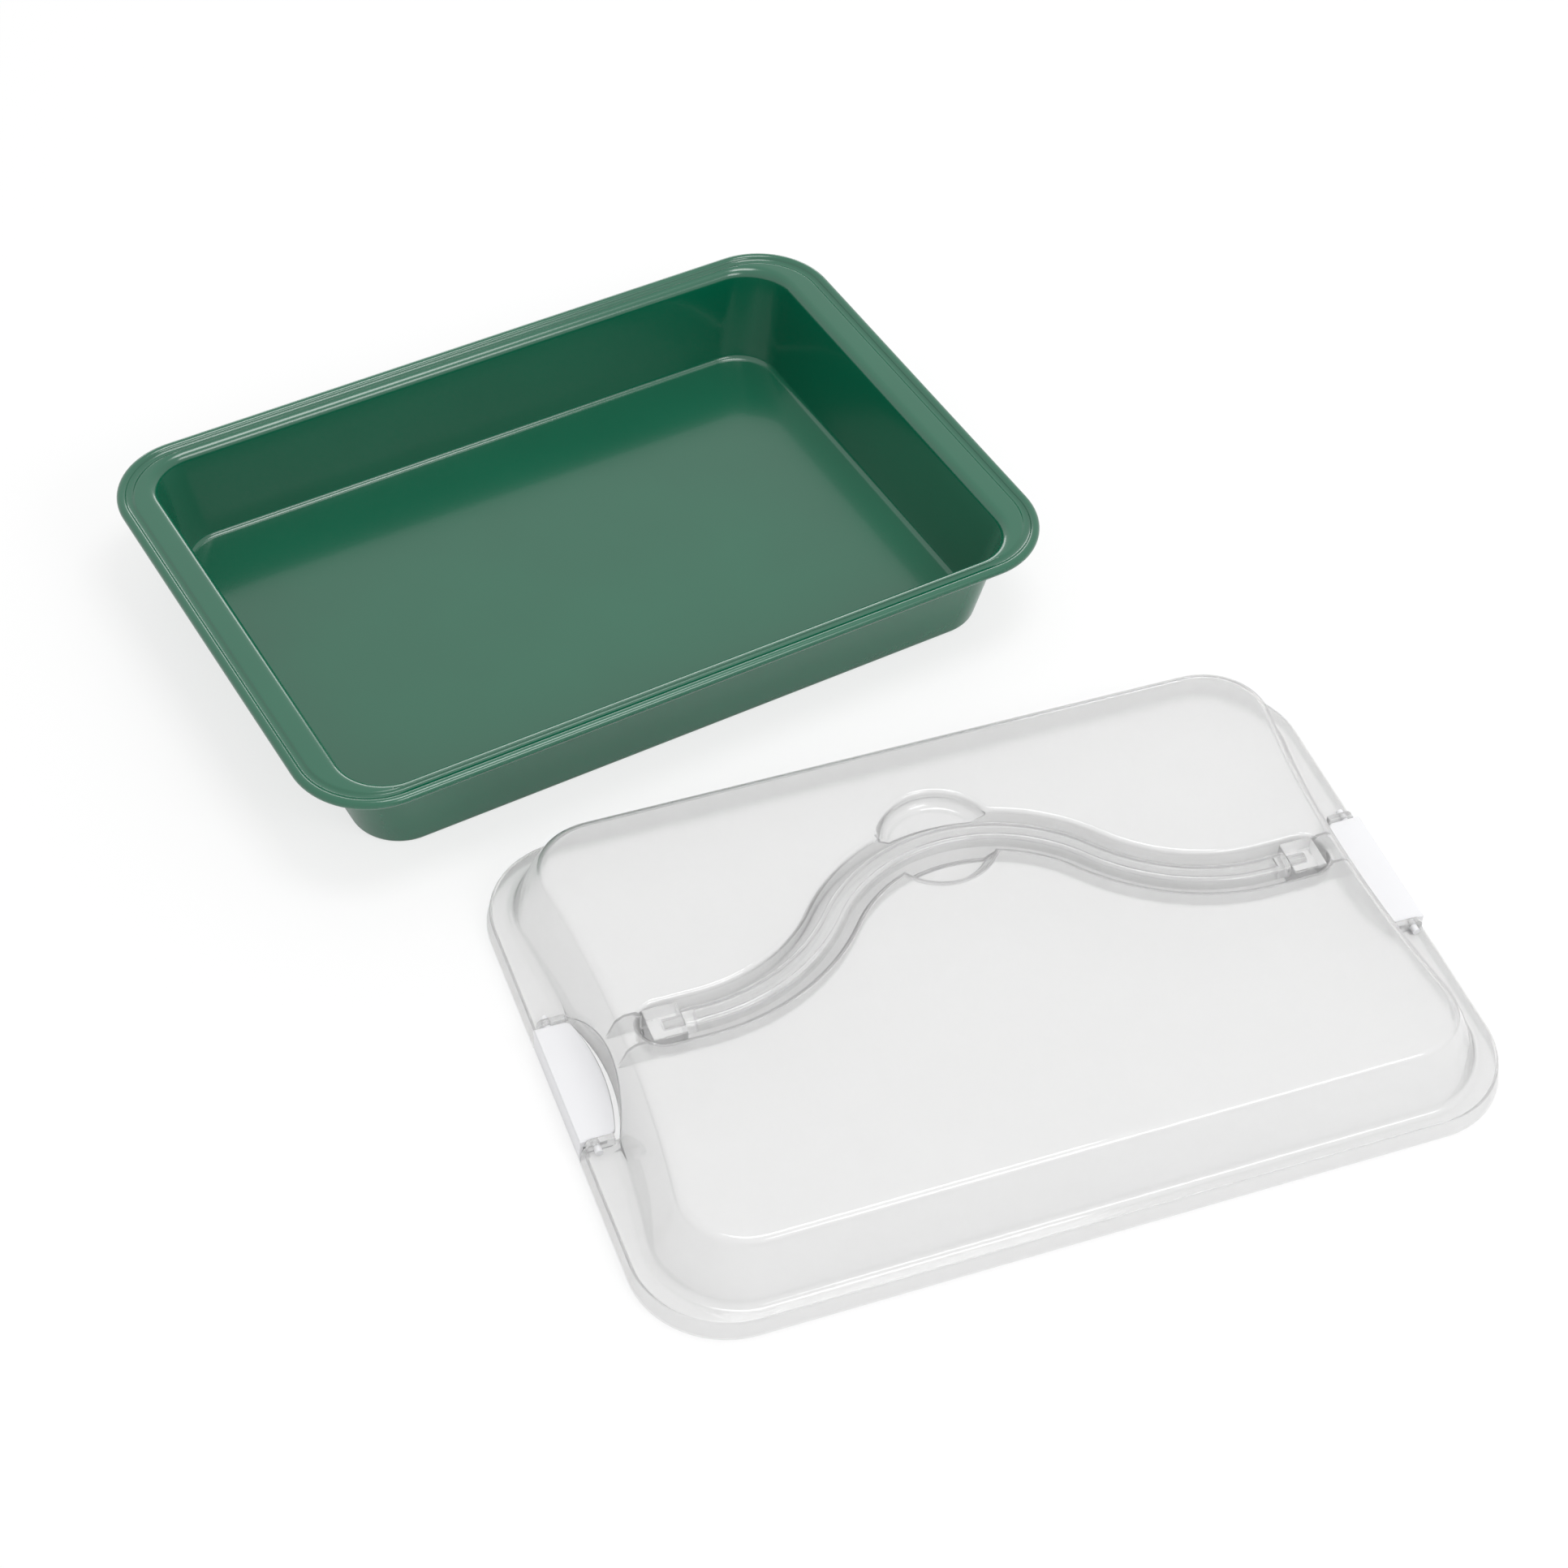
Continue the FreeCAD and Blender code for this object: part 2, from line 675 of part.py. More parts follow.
# Latch pockets: a round hollow in each end wall of the dome, open through the ledge and the skirt
latch_length = cell("latch_length")
latch_rise = cell("latch_rise")
skirt_end = lid_length / 2
latch_face = skirt_end - cell("face_inset")
latch_middle = latch_face - cell("latch_depth")
pocket_middle = latch_middle - cell("pocket_gap")
pocket_reach = cell("pocket_reach")
pocket_bulge = cell("pocket_bulge")
pocket_radius = (pocket_reach * pocket_reach + pocket_bulge * pocket_bulge) / (pocket_bulge * 2)
pocket_centre = pocket_middle + pocket_radius
notch_half = latch_length / 2 + cell("notch_clearance")
beyond = skirt_end + wall * 2


def common(name, shapes):
    thing = doc.addObject("Part::MultiCommon", name)
    thing.Shapes = shapes
    return thing


pocket_round = rod("PocketRound", "Z", (pocket_centre, ZERO, -wall), above + wall, pocket_radius)
pocket_above = box("PocketAbove", (pocket_middle - wall, -pocket_reach, skirt_height),
                   (beyond, pocket_reach, above))
pocket_below = box("PocketBelow", (pocket_middle - wall, -notch_half, -wall),
                   (beyond, notch_half, skirt_height + wall))
pocket_inside = common("Pocket", [pocket_round, fused("PocketBlocks", [pocket_above, pocket_below])])
wall_round = rod("PocketWallRound", "Z", (pocket_centre, ZERO, ledge_under), above - ledge_under,
                 pocket_radius + wall)
wall_block = box("PocketWallBlock", (pocket_middle - wall * 2, -(pocket_reach + wall * 2), ledge_under),
                 (beyond, pocket_reach + wall * 2, above))
pocket_wall = common("PocketWall", [wall_round, wall_block])

# Two ribs tie the end of the channel to the dome's end wall
rib = cell("rib")
rib_line = cell("bearing_width") / 2
rib_under = lid_height - cell("rib_drop")
rib_half = rib / 2
rib_near = box("RibNear", (channel_reach, -rib_line - rib_half, rib_under), (beyond, rib_half - rib_line, above))
rib_far = box("RibFar", (channel_reach, rib_line - rib_half, rib_under), (beyond, rib_line + rib_half, above))

kept_end = fused("KeptEnd", [pocket_wall, rib_near, rib_far])
kept = fused("Kept", channel_walls + [dish_walls, kept_end, mirrored("KeptFarEnd", kept_end)])
open_room = cut("OpenRoom", room, kept)
moulding = cut("Moulding", outer_form, open_room)
taken = fused("Taken", channel_inside + [dish_inside, pocket_inside, mirrored("PocketFar", pocket_inside)])
carved = cut("Carved", moulding, taken)

# Bearings: a block at each end of the channel for the handle's pins, and ears for the latch's pins
bar_height = cell("bar_height")
bar_middle = lid_height - cell("bar_drop") - bar_height / 2
side_clearance = cell("side_clearance")
pin_radius = cell("pin_radius")
pin_length = cell("pin_length")
pin_clearance = cell("pin_clearance")
bearing_start = handle_reach + side_clearance
bearing_end = bearing_start + cell("bearing_length")
block = box("BearingBlock", (bearing_start, -rib_line, channel_floor - wall / 2),
            (bearing_end, rib_line, lid_height - cell("bearing_drop")))
pin_bore = rod("PinBore", "X", (bearing_start - wall, ZERO, bar_middle),
               pin_length + wall + side_clearance, pin_radius + pin_clearance)

trunnion_radius = cell("trunnion_radius")
trunnion_length = cell("trunnion_length")
trunnion_out = skirt_end - cell("trunnion_inset")
plate = cell("latch_plate")
latch_top = skirt_height + latch_rise
cheek_height = cell("cheek_height")
plate_under = latch_top - plate
trunnion_height = skirt_height + side_clearance + trunnion_radius
ear = cell("ear")
ear_out = ledge_length / 2 - cell("shoulder_bend")
ear_in = ear_out - cell("ear_length")
ear_root = skirt_height - wall / 2
ear_top = trunnion_height + trunnion_radius + pin_clearance + wall


def ear_at(name, level):
    """One upright ear with a round outer corner, its near face at a distance along Y."""
    corner = ear_top - trunnion_height
    section = profile(None, name + "Section", "XZ", level, (ear_in, ear_root), [
        (ear_out, ear_root),
        (ear_out, ear_top - corner),
        (ear_out - corner, ear_top, corner),
        (ear_in, ear_top),
        (ear_in, ear_root),
    ])
    return extrusion(name, section, Vector(0, 1, 0), ear)


ears = [ear_at("EarFar", -notch_half), ear_at("EarNear", notch_half + ear)]
trunnion_bore = rod("TrunnionBore", "Y", (trunnion_out, -(notch_half + ear * 2), trunnion_height),
                    (notch_half + ear * 2) * 2, trunnion_radius + pin_clearance)
added = fused("AddedEnd", [block] + ears)
bores = fused("BoresEnd", [pin_bore, trunnion_bore])
filled = fused("Filled", [carved, added, mirrored("AddedFarEnd", added)])
lid = cut("LidShell", filled, fused("Bores", [bores, mirrored("BoresFarEnd", bores)]))
lid.Label = "lid_shell"

# Handle: a grooved bar, hollow underneath, with solid ends and a pin at each end
bar_half = cell("bar_width") / 2
bar_low = bar_middle - bar_height / 2
bar_high = bar_middle + bar_height / 2
bar_chamfer = cell("bar_chamfer")
bar_section = profile(None, "BarSection", "YZ", -handle_reach, (bar_chamfer - bar_half, bar_low), [
    (bar_half - bar_chamfer, bar_low),
    (bar_half, bar_low + bar_chamfer),
    (bar_half, bar_high - bar_chamfer),
    (bar_half - bar_chamfer, bar_high),
    (bar_chamfer - bar_half, bar_high),
    (-bar_half, bar_high - bar_chamfer),
    (-bar_half, bar_low + bar_chamfer),
    (bar_chamfer - bar_half, bar_low),
])
handle_eye = cell("handle_eye")
groove_half = cell("groove_width") / 2
groove_floor = bar_high - cell("groove_depth")
hollow_half = cell("hollow_width") / 2
hollow_roof = bar_low + cell("hollow_depth")
groove_reach = handle_reach - handle_eye


def slot_section(name, half, low, high):
    """The upright rectangle that a groove or hollow of the bar follows."""
    return profile(None, name, "YZ", -groove_reach, (-half, low), [
        (half, low),
        (half, high),
        (-half, high),
        (-half, low),
    ])


groove_section = slot_section("GrooveSection", groove_half, groove_floor, bar_high + wall)
hollow_section = slot_section("HollowSection", hollow_half, bar_low - wall, hollow_roof)
bar = sweep("Bar", bar_section, bell_line("BarPath", bar_middle, handle_reach))
slot_path = bell_line("SlotPath", bar_middle, groove_reach)
groove = sweep("Groove", groove_section, slot_path)
hollow_run = sweep("Hollow", hollow_section, slot_path)
slots = fused("Slots", [groove, hollow_run])
pin_root = handle_eye / 2
pin = rod("Pin", "X", (handle_reach - pin_root, ZERO, bar_middle), pin_root + pin_length, pin_radius)
handle = cut("CarryHandle", fused("PinnedBar", [bar, pin, mirrored("FarPin", pin)]), slots)
handle.Label = "carry_handle"

# Latch: a rocking plate with an outer wall, a hook under it and pins in the ears
latch_half = latch_length / 2
latch_bulge = cell("latch_bulge")
latch_radius = (latch_half * latch_half + latch_bulge * latch_bulge) / (latch_bulge * 2)
latch_wall = latch_face - cell("latch_wall")
foot_gap = cell("foot_gap")
cheek = cell("cheek")
cheek_in = latch_wall - cell("cheek_length")
latch_corner = cell("latch_corner")
latch_edge = cell("latch_edge")
plate_blank = common("PlateBlank", [
    box("PlateBlock", (latch_middle, -latch_half, plate_under), (latch_face, latch_half, latch_top)),
    rod("PlateRound", "Z", (latch_middle + latch_radius, ZERO, plate_under), plate, latch_radius),
])
plate_cornered = filleted("PlateCornered", plate_blank, [
    (latch_corner, latch_corner, lambda e: is_corner(e, plate) and e.BoundBox.XMax < latch_wall.number),
])
plate_soft = chamfered("PlateSoft", plate_cornered, latch_edge, lambda e: at_level(e, latch_top))
outer_wall = box("OuterWall", (latch_wall, -latch_half, foot_gap), (latch_face, latch_half, plate_under))
hook = box("Hook", (latch_wall - cell("hook_reach"), -latch_half, foot_gap),
           (latch_face, latch_half, foot_gap + cell("hook_height")))
latch_pieces = [plate_soft, outer_wall, hook]
for name, near, start in (("Near", latch_half - cheek, latch_half - cheek),
                          ("Far", -latch_half, -latch_half - trunnion_length)):
    latch_pieces.append(box("Cheek" + name, (cheek_in, near, plate_under - cheek_height),
                            (latch_wall, near + cheek, plate_under)))
    latch_pieces.append(rod("Trunnion" + name, "Y", (trunnion_out, start, trunnion_height),
                            trunnion_length + cheek, trunnion_radius))
latch_form = fused("LatchForm", latch_pieces)
latch_right = doc.addObject("Part::Refine", "LatchRight")
latch_right.Source = latch_form
latch_right.Label = "latch_right"
latch_left = mirrored("LatchLeft", latch_form)
latch_left.Label = "latch_left"
doc.recompute()

# The lid's pieces stand on the table beside the pan, turned a little
for piece in (lid, handle, latch_right, latch_left):
    piece.Placement = Placement(Vector(), Rotation(Vector(0, 0, -1), SIZES["lid_turn"]))
    bind(piece, "Placement.Base.x", cell("lid_right"))
    bind(piece, "Placement.Base.y", -cell("lid_forward"))
    bind(piece, "Placement.Rotation.Angle", cell("lid_turn"))
doc.recompute()

for item in doc.Objects:
    assert not {"Invalid", "Error"} & set(item.State), "%s has failed" % item.Name
pieces = [pan, lid, handle, latch_right, latch_left]
for piece in pieces:
    assert not piece.Shape.isNull() and piece.Shape.isValid(), "%s has no sound shape" % piece.Label
    assert len(piece.Shape.Solids) == 1, "%s is not one solid" % piece.Label

os.makedirs("parts", exist_ok=True)
for piece in pieces:
    piece.Shape.exportStep("parts/%s.step" % piece.Label)
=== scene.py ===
"""Dresses the cake pan and its clear carrying lid, and sets them in a plain white studio."""

import logging
import math
from dataclasses import dataclass
from enum import Enum

import bpy
import numpy as np
from mathutils import Matrix, Vector


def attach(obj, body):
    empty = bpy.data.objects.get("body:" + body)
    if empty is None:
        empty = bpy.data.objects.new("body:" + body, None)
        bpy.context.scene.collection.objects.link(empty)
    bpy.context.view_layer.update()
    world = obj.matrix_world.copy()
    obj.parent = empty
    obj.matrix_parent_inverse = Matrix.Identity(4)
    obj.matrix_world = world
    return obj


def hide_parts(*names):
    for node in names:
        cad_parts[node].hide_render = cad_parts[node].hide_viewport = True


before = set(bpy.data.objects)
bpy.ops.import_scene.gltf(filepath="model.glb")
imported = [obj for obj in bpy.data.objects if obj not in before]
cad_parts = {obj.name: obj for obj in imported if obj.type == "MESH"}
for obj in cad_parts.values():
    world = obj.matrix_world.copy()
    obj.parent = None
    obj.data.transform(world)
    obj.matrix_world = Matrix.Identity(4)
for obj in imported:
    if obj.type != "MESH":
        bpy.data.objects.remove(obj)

logging.basicConfig(level=logging.INFO, format="%(message)s")
log = logging.getLogger("cake pan")

MM = 0.001
# The photograph's frame, in pixels each way.
PICTURE = 1932
# Below this a length counts as none.
TINY = 1e-16
# Points of a solid that agree to this many decimals of a metre are one point.
SAME_PLACE = 7
# The colour sockets of a Mix node go by number, because its other kinds have the same names.
MIX_SHARE, MIX_FIRST, MIX_SECOND, MIX_RESULT = 0, 6, 7, 2


class Body(str, Enum):
    """The bodies that pieces ride on."""

    PAN_AND_LID = "pan_and_lid"
    HANDLE = "handle"
    LEFT_LATCH = "left_latch"
    RIGHT_LATCH = "right_latch"


def linear(code: str) -> tuple[float, float, float, float]:
    """Turns an sRGB hex colour into the linear one that a shader takes.

    Args:
        code: Six hex digits after a hash sign.

    Returns:
        Red, green, blue and an alpha of one.
    """
    parts = [int(code[i:i + 2], 16) / 255 for i in (1, 3, 5)]
    red, green, blue = (p / 12.92 if p <= 0.04045 else ((p + 0.055) / 1.055) ** 2.4 for p in parts)
    return red, green, blue, 1.0


def add_node(tree: bpy.types.NodeTree, kind: str, settings: dict | None = None,
             links: dict | None = None) -> bpy.types.Node:
    """Adds one node with its settings and links.

    Args:
        tree: The node tree that it goes into.
        kind: The node's type name.
        settings: Names of attributes, or names or numbers of inputs, with their values.
        links: Names or numbers of inputs, with the output sockets that feed them.

    Returns:
        The new node.
    """
    node = tree.nodes.new(kind)
    for name, value in (settings or {}).items():
        if isinstance(name, int) or name in node.inputs:
            node.inputs[name].default_value = value
        else:
            setattr(node, name, value)
    for name, socket in (links or {}).items():
        tree.links.new(socket, node.inputs[name])
    return node


# Finishes


@dataclass(frozen=True)
class Finish:
    """What every finish has: a name, and a principled shader that a subclass fills."""

    name: str

    def settings(self) -> dict[str, object]:
        """Gives the shader's own sockets their values."""
        return {}

    def pattern(self, tree: bpy.types.NodeTree, shader: bpy.types.Node) -> None:
        """Adds what varies over the surface."""

    @staticmethod
    def relief(tree: bpy.types.NodeTree, shader: bpy.types.Node, size_mm: float,
               height_mm: float, strength: float, detail: float) -> None:
        """Bends the shader's normal with a noise that is fixed to the piece.

        Args:
            tree: The material's node tree.
            shader: The shader.
            size_mm: How far apart the bumps lie.
            height_mm: How high they stand.
            strength: How much of them shows.
            detail: How many finer layers lie on them.
        """
        place = add_node(tree, "ShaderNodeTexCoord").outputs["Object"]
        noise = add_node(tree, "ShaderNodeTexNoise",
                         {"Scale": 1 / (size_mm * MM), "Detail": detail}, {"Vector": place})
        bump = add_node(tree, "ShaderNodeBump",
                        {"Strength": strength, "Distance": height_mm * MM},
                        {"Height": noise.outputs["Fac"]})
        tree.links.new(bump.outputs["Normal"], shader.inputs["Normal"])

    def material(self) -> bpy.types.Material:
        """Makes the material, or finds it when it was made before.

        Returns:
            The material.
        """
        made = bpy.data.materials.get(self.name)
        if made:
            return made
        made = bpy.data.materials.new(self.name)
        made.use_nodes = True
        tree = made.node_tree
        tree.nodes.clear()
        shader = add_node(tree, "ShaderNodeBsdfPrincipled", self.settings())
        self.pattern(tree, shader)
        add_node(tree, "ShaderNodeOutputMaterial", None, {"Surface": shader.outputs["BSDF"]})
        return made


@dataclass(frozen=True)
class CoatedSteel(Finish):
    """Drawn steel sheet, sprayed with a non-stick enamel and baked.

    The enamel is satin, and the thin glassy skin that baking leaves on it sharpens the glints. The
    spray leaves a fine orange peel and a tone that changes slowly over the sheet.
    """

    deep: str = "#015A40"
    pale: str = "#046246"
    cloud_mm: float = 60.0
    peel_mm: float = 1.2
    peel_height_mm: float = 0.05

    def settings(self) -> dict[str, object]:
        """Gives the enamel's satin gloss and the glassy skin on it."""
        return {
            "Roughness": 0.19,
            "IOR": 1.52,
            "Specular IOR Level": 0.66,
            "Coat Weight": 0.3,
            "Coat Roughness": 0.07,
            "Coat IOR": 1.5,
        }

    def pattern(self, tree: bpy.types.NodeTree, shader: bpy.types.Node) -> None:
        """Adds the slow change of tone and the orange peel.

        Args:
            tree: The material's node tree.
            shader: The shader.
        """
        place = add_node(tree, "ShaderNodeTexCoord").outputs["Object"]
        cloud = add_node(tree, "ShaderNodeTexNoise",
                         {"Scale": 1 / (self.cloud_mm * MM), "Detail": 2.0}, {"Vector": place})
        tint = add_node(tree, "ShaderNodeMix",
                        {"data_type": "RGBA", "clamp_factor": True,
                         MIX_FIRST: linear(self.deep), MIX_SECOND: linear(self.pale)},
                        {MIX_SHARE: cloud.outputs["Fac"]})
        tree.links.new(tint.outputs[MIX_RESULT], shader.inputs["Base Color"])
        self.relief(tree, shader, self.peel_mm, self.peel_height_mm, strength=0.35, detail=3.0)


@dataclass(frozen=True)
class ClearPlastic(Finish):
    """Injection moulded styrene or polypropylene, clear with a slight milky haze.

    The haze softens and greys what is seen through it, the polished mould leaves a glossy skin,
    and the melt's flow leaves slow waves in the walls. The index is below the real 1.5, so that the
    edges of the thin walls stay as soft as the real ones look.
    """

    tone: str = "#F4F4F4"
    roughness: float = 0.24
    clearness: float = 0.76
    index: float = 1.32
    gloss: float = 0.7
    wave_mm: float = 28.0
    wave_height_mm: float = 0.12

    def settings(self) -> dict[str, object]:
        """Gives the plastic its clearness and its glossy skin."""
        return {
            "Base Color": linear(self.tone),
            "Roughness": self.roughness,
            "IOR": self.index,
            "Transmission Weight": self.clearness,
            "Coat Weight": self.gloss,
            "Coat Roughness": 0.05,
            "Coat IOR": 1.5,
        }

    def pattern(self, tree: bpy.types.NodeTree, shader: bpy.types.Node) -> None:
        """Adds the slow waves of the melt's flow."""
        self.relief(tree, shader, self.wave_mm, self.wave_height_mm, strength=0.25, detail=1.0)


@dataclass(frozen=True)
class WhitePlastic(Finish):
    """Injection moulded white polypropylene.

    It is even and opaque, with a soft gloss and a little light that sinks in at the edges. The
    mould's matt grain is finer than the render can show, so it is drawn coarser.
    """

    tone: str = "#EBEBED"
    grain_mm: float = 0.9
    grain_height_mm: float = 0.03

    def settings(self) -> dict[str, object]:
        """Gives the plastic its soft gloss."""
        return {
            "Base Color": linear(self.tone),
            "Roughness": 0.38,
            "IOR": 1.49,
            "Subsurface Weight": 0.12,
            "Subsurface Radius": (1.0, 1.0, 1.0),
            "Subsurface Scale": 1.2 * MM,
        }

    def pattern(self, tree: bpy.types.NodeTree, shader: bpy.types.Node) -> None:
        """Adds the mould's grain."""
        self.relief(tree, shader, self.grain_mm, self.grain_height_mm, strength=0.08, detail=2.0)


# Meshes


def piece_of(name: str, points: np.ndarray, faces: list | np.ndarray) -> bpy.types.Object:
    """Makes a smooth shaded object at the origin from points in metres.

    Args:
        name: The piece's name.
        points: An array of (count, 3) places.
        faces: Rows of point numbers, of three or four each.

    Returns:
        The object, linked to the scene.
    """
    mesh = bpy.data.meshes.new(name)
    rows = faces.tolist() if isinstance(faces, np.ndarray) else faces
    mesh.from_pydata(points.tolist(), [], rows)
    mesh.validate()
    mesh.shade_smooth()
    piece = bpy.data.objects.new(name, mesh)
    bpy.context.scene.collection.objects.link(piece)
    return piece


def unit(vectors: np.ndarray) -> np.ndarray:
    """Scales each vector to a length of one, and leaves one that has none."""
    return vectors / np.maximum(np.linalg.norm(vectors, axis=-1, keepdims=True), TINY)


def between(one: np.ndarray, two: np.ndarray, shares: np.ndarray | list[float]) -> np.ndarray:
    """Gives the points at shares of the way from one point to another."""
    return one + np.array(shares)[:, None] * (two - one)


def arc(centre: tuple, radius: float, start: float, end: float, steps: int) -> np.ndarray:
    """Points on a circle: centre + radius * (cos angle, sin angle), from one angle to another."""
    angle = np.radians(np.linspace(start, end, steps + 1))
    return np.array(centre) + radius * np.stack([np.cos(angle), np.sin(angle)], axis=1)


def bend(before: tuple, corner: tuple, after: tuple, radius: float, steps: int) -> np.ndarray:
    """Rounds the corner of a bent line with an arc.

    The arc's centre lies on the corner's bisector, at radius / sin(half the corner's angle). At a
    share s of the arc's turn, a point is the centre plus the arm to the arc's start times
    sin((1 - s) turn) and the arm to its end times sin(s turn), both over sin(turn).

    Args:
        before: A point on the line before the corner.
        corner: The corner.
        after: A point on the line after it.
        radius: The arc's radius.
        steps: How many pieces the arc has.

    Returns:
        An array of (steps + 1, 2) points.
    """
    knee = np.array(corner, float)
    one = unit(np.array(before, float) - knee)
    two = unit(np.array(after, float) - knee)
    half = math.acos(float(np.clip(one @ two, -1, 1))) / 2
    centre = knee + unit(one + two) * radius / math.sin(half)
    start = knee + one * radius / math.tan(half) - centre
    end = knee + two * radius / math.tan(half) - centre
    turn = math.pi - 2 * half
    s = np.linspace(0, 1, steps + 1)[:, None]
    return centre + (np.sin((1 - s) * turn) * start + np.sin(s * turn) * end) / math.sin(turn)


@dataclass
class Rings:
    """Rounded rectangles that are stacked into a closed shell.

    Each ring is four corner arcs and the straight runs between them. A point at angle t of a
    corner is (a - r + r cos t, b - r + r sin t), with a and b the half sizes and r the corner's
    radius, and its height goes from the end's profile to the side's as sin squared t.
    """

    arc_steps: int = 20
    run_steps: int = 12

    def directions(self) -> tuple[np.ndarray, np.ndarray, np.ndarray, np.ndarray]:
        """Lays out the points of a ring's four corners.

        Returns:
            Each point's sign across, its sign along, and its angle's cosine and sine.
        """
        t = np.linspace(0, math.pi / 2, self.arc_steps + 1)
        back = math.pi / 2 - t
        across = np.repeat([1.0, -1.0, -1.0, 1.0], t.size)
        along = np.repeat([1.0, 1.0, -1.0, -1.0], t.size)
        angle = np.concatenate([t, back, t, back])
        return across, along, np.cos(angle), np.sin(angle)

    def surface(self, end: np.ndarray, side: np.ndarray, corner: np.ndarray) -> np.ndarray:
        """Carries the two profiles round the rings.

        Args:
            end: (count, 2) distance and height of the profile at the ends.
            side: The same at the long sides.
            corner: (count,) the corner's radius of each ring.

        Returns:
            An array of (rings, points on a ring, 3).
        """
        across, along, c, s = self.directions()
        a, b, r = end[:, :1], side[:, :1], corner[:, None]
        x = across * (a - r + r * c)
        y = along * (b - r + r * s)
        z = end[:, 1:] * c * c + side[:, 1:] * s * s
        grid = np.stack([x, y, z], axis=2)
        corners = np.split(grid, 4, axis=1)
        share = np.linspace(0, 1, self.run_steps + 1)[1:-1, None]
        runs = []
        for here, following in zip(corners, corners[1:] + corners[:1]):
            runs += [here, here[:, -1:] * (1 - share) + following[:, :1] * share]
        return np.concatenate(runs, axis=1)

    @staticmethod
    def closed(name: str, grid: np.ndarray) -> bpy.types.Object:
        """Closes rings of points into one skin with a pole at both ends.

        Args:
            name: The piece's name.
            grid: An array of (rings, points on a ring, 3), in metres.

        Returns:
            The piece.
        """
        rings, count, _ = grid.shape
        poles = np.stack([grid[0].mean(axis=0), grid[-1].mean(axis=0)])
        along = np.arange(count)
        after = (along + 1) % count
        rows = np.arange(rings - 1)[:, None] * count
        quads = np.stack([rows + along, rows + after, rows + count + after, rows + count + along],
                         axis=2)
        first, last = rings * count, rings * count + 1
        top = (rings - 1) * count
        caps = [np.stack([np.full(count, first), after, along], axis=1),
                np.stack([np.full(count, last), top + along, top + after], axis=1)]
        faces = quads.reshape(-1, 4).tolist() + np.concatenate(caps).tolist()
        return piece_of(name, np.concatenate([grid.reshape(-1, 3), poles]), faces)


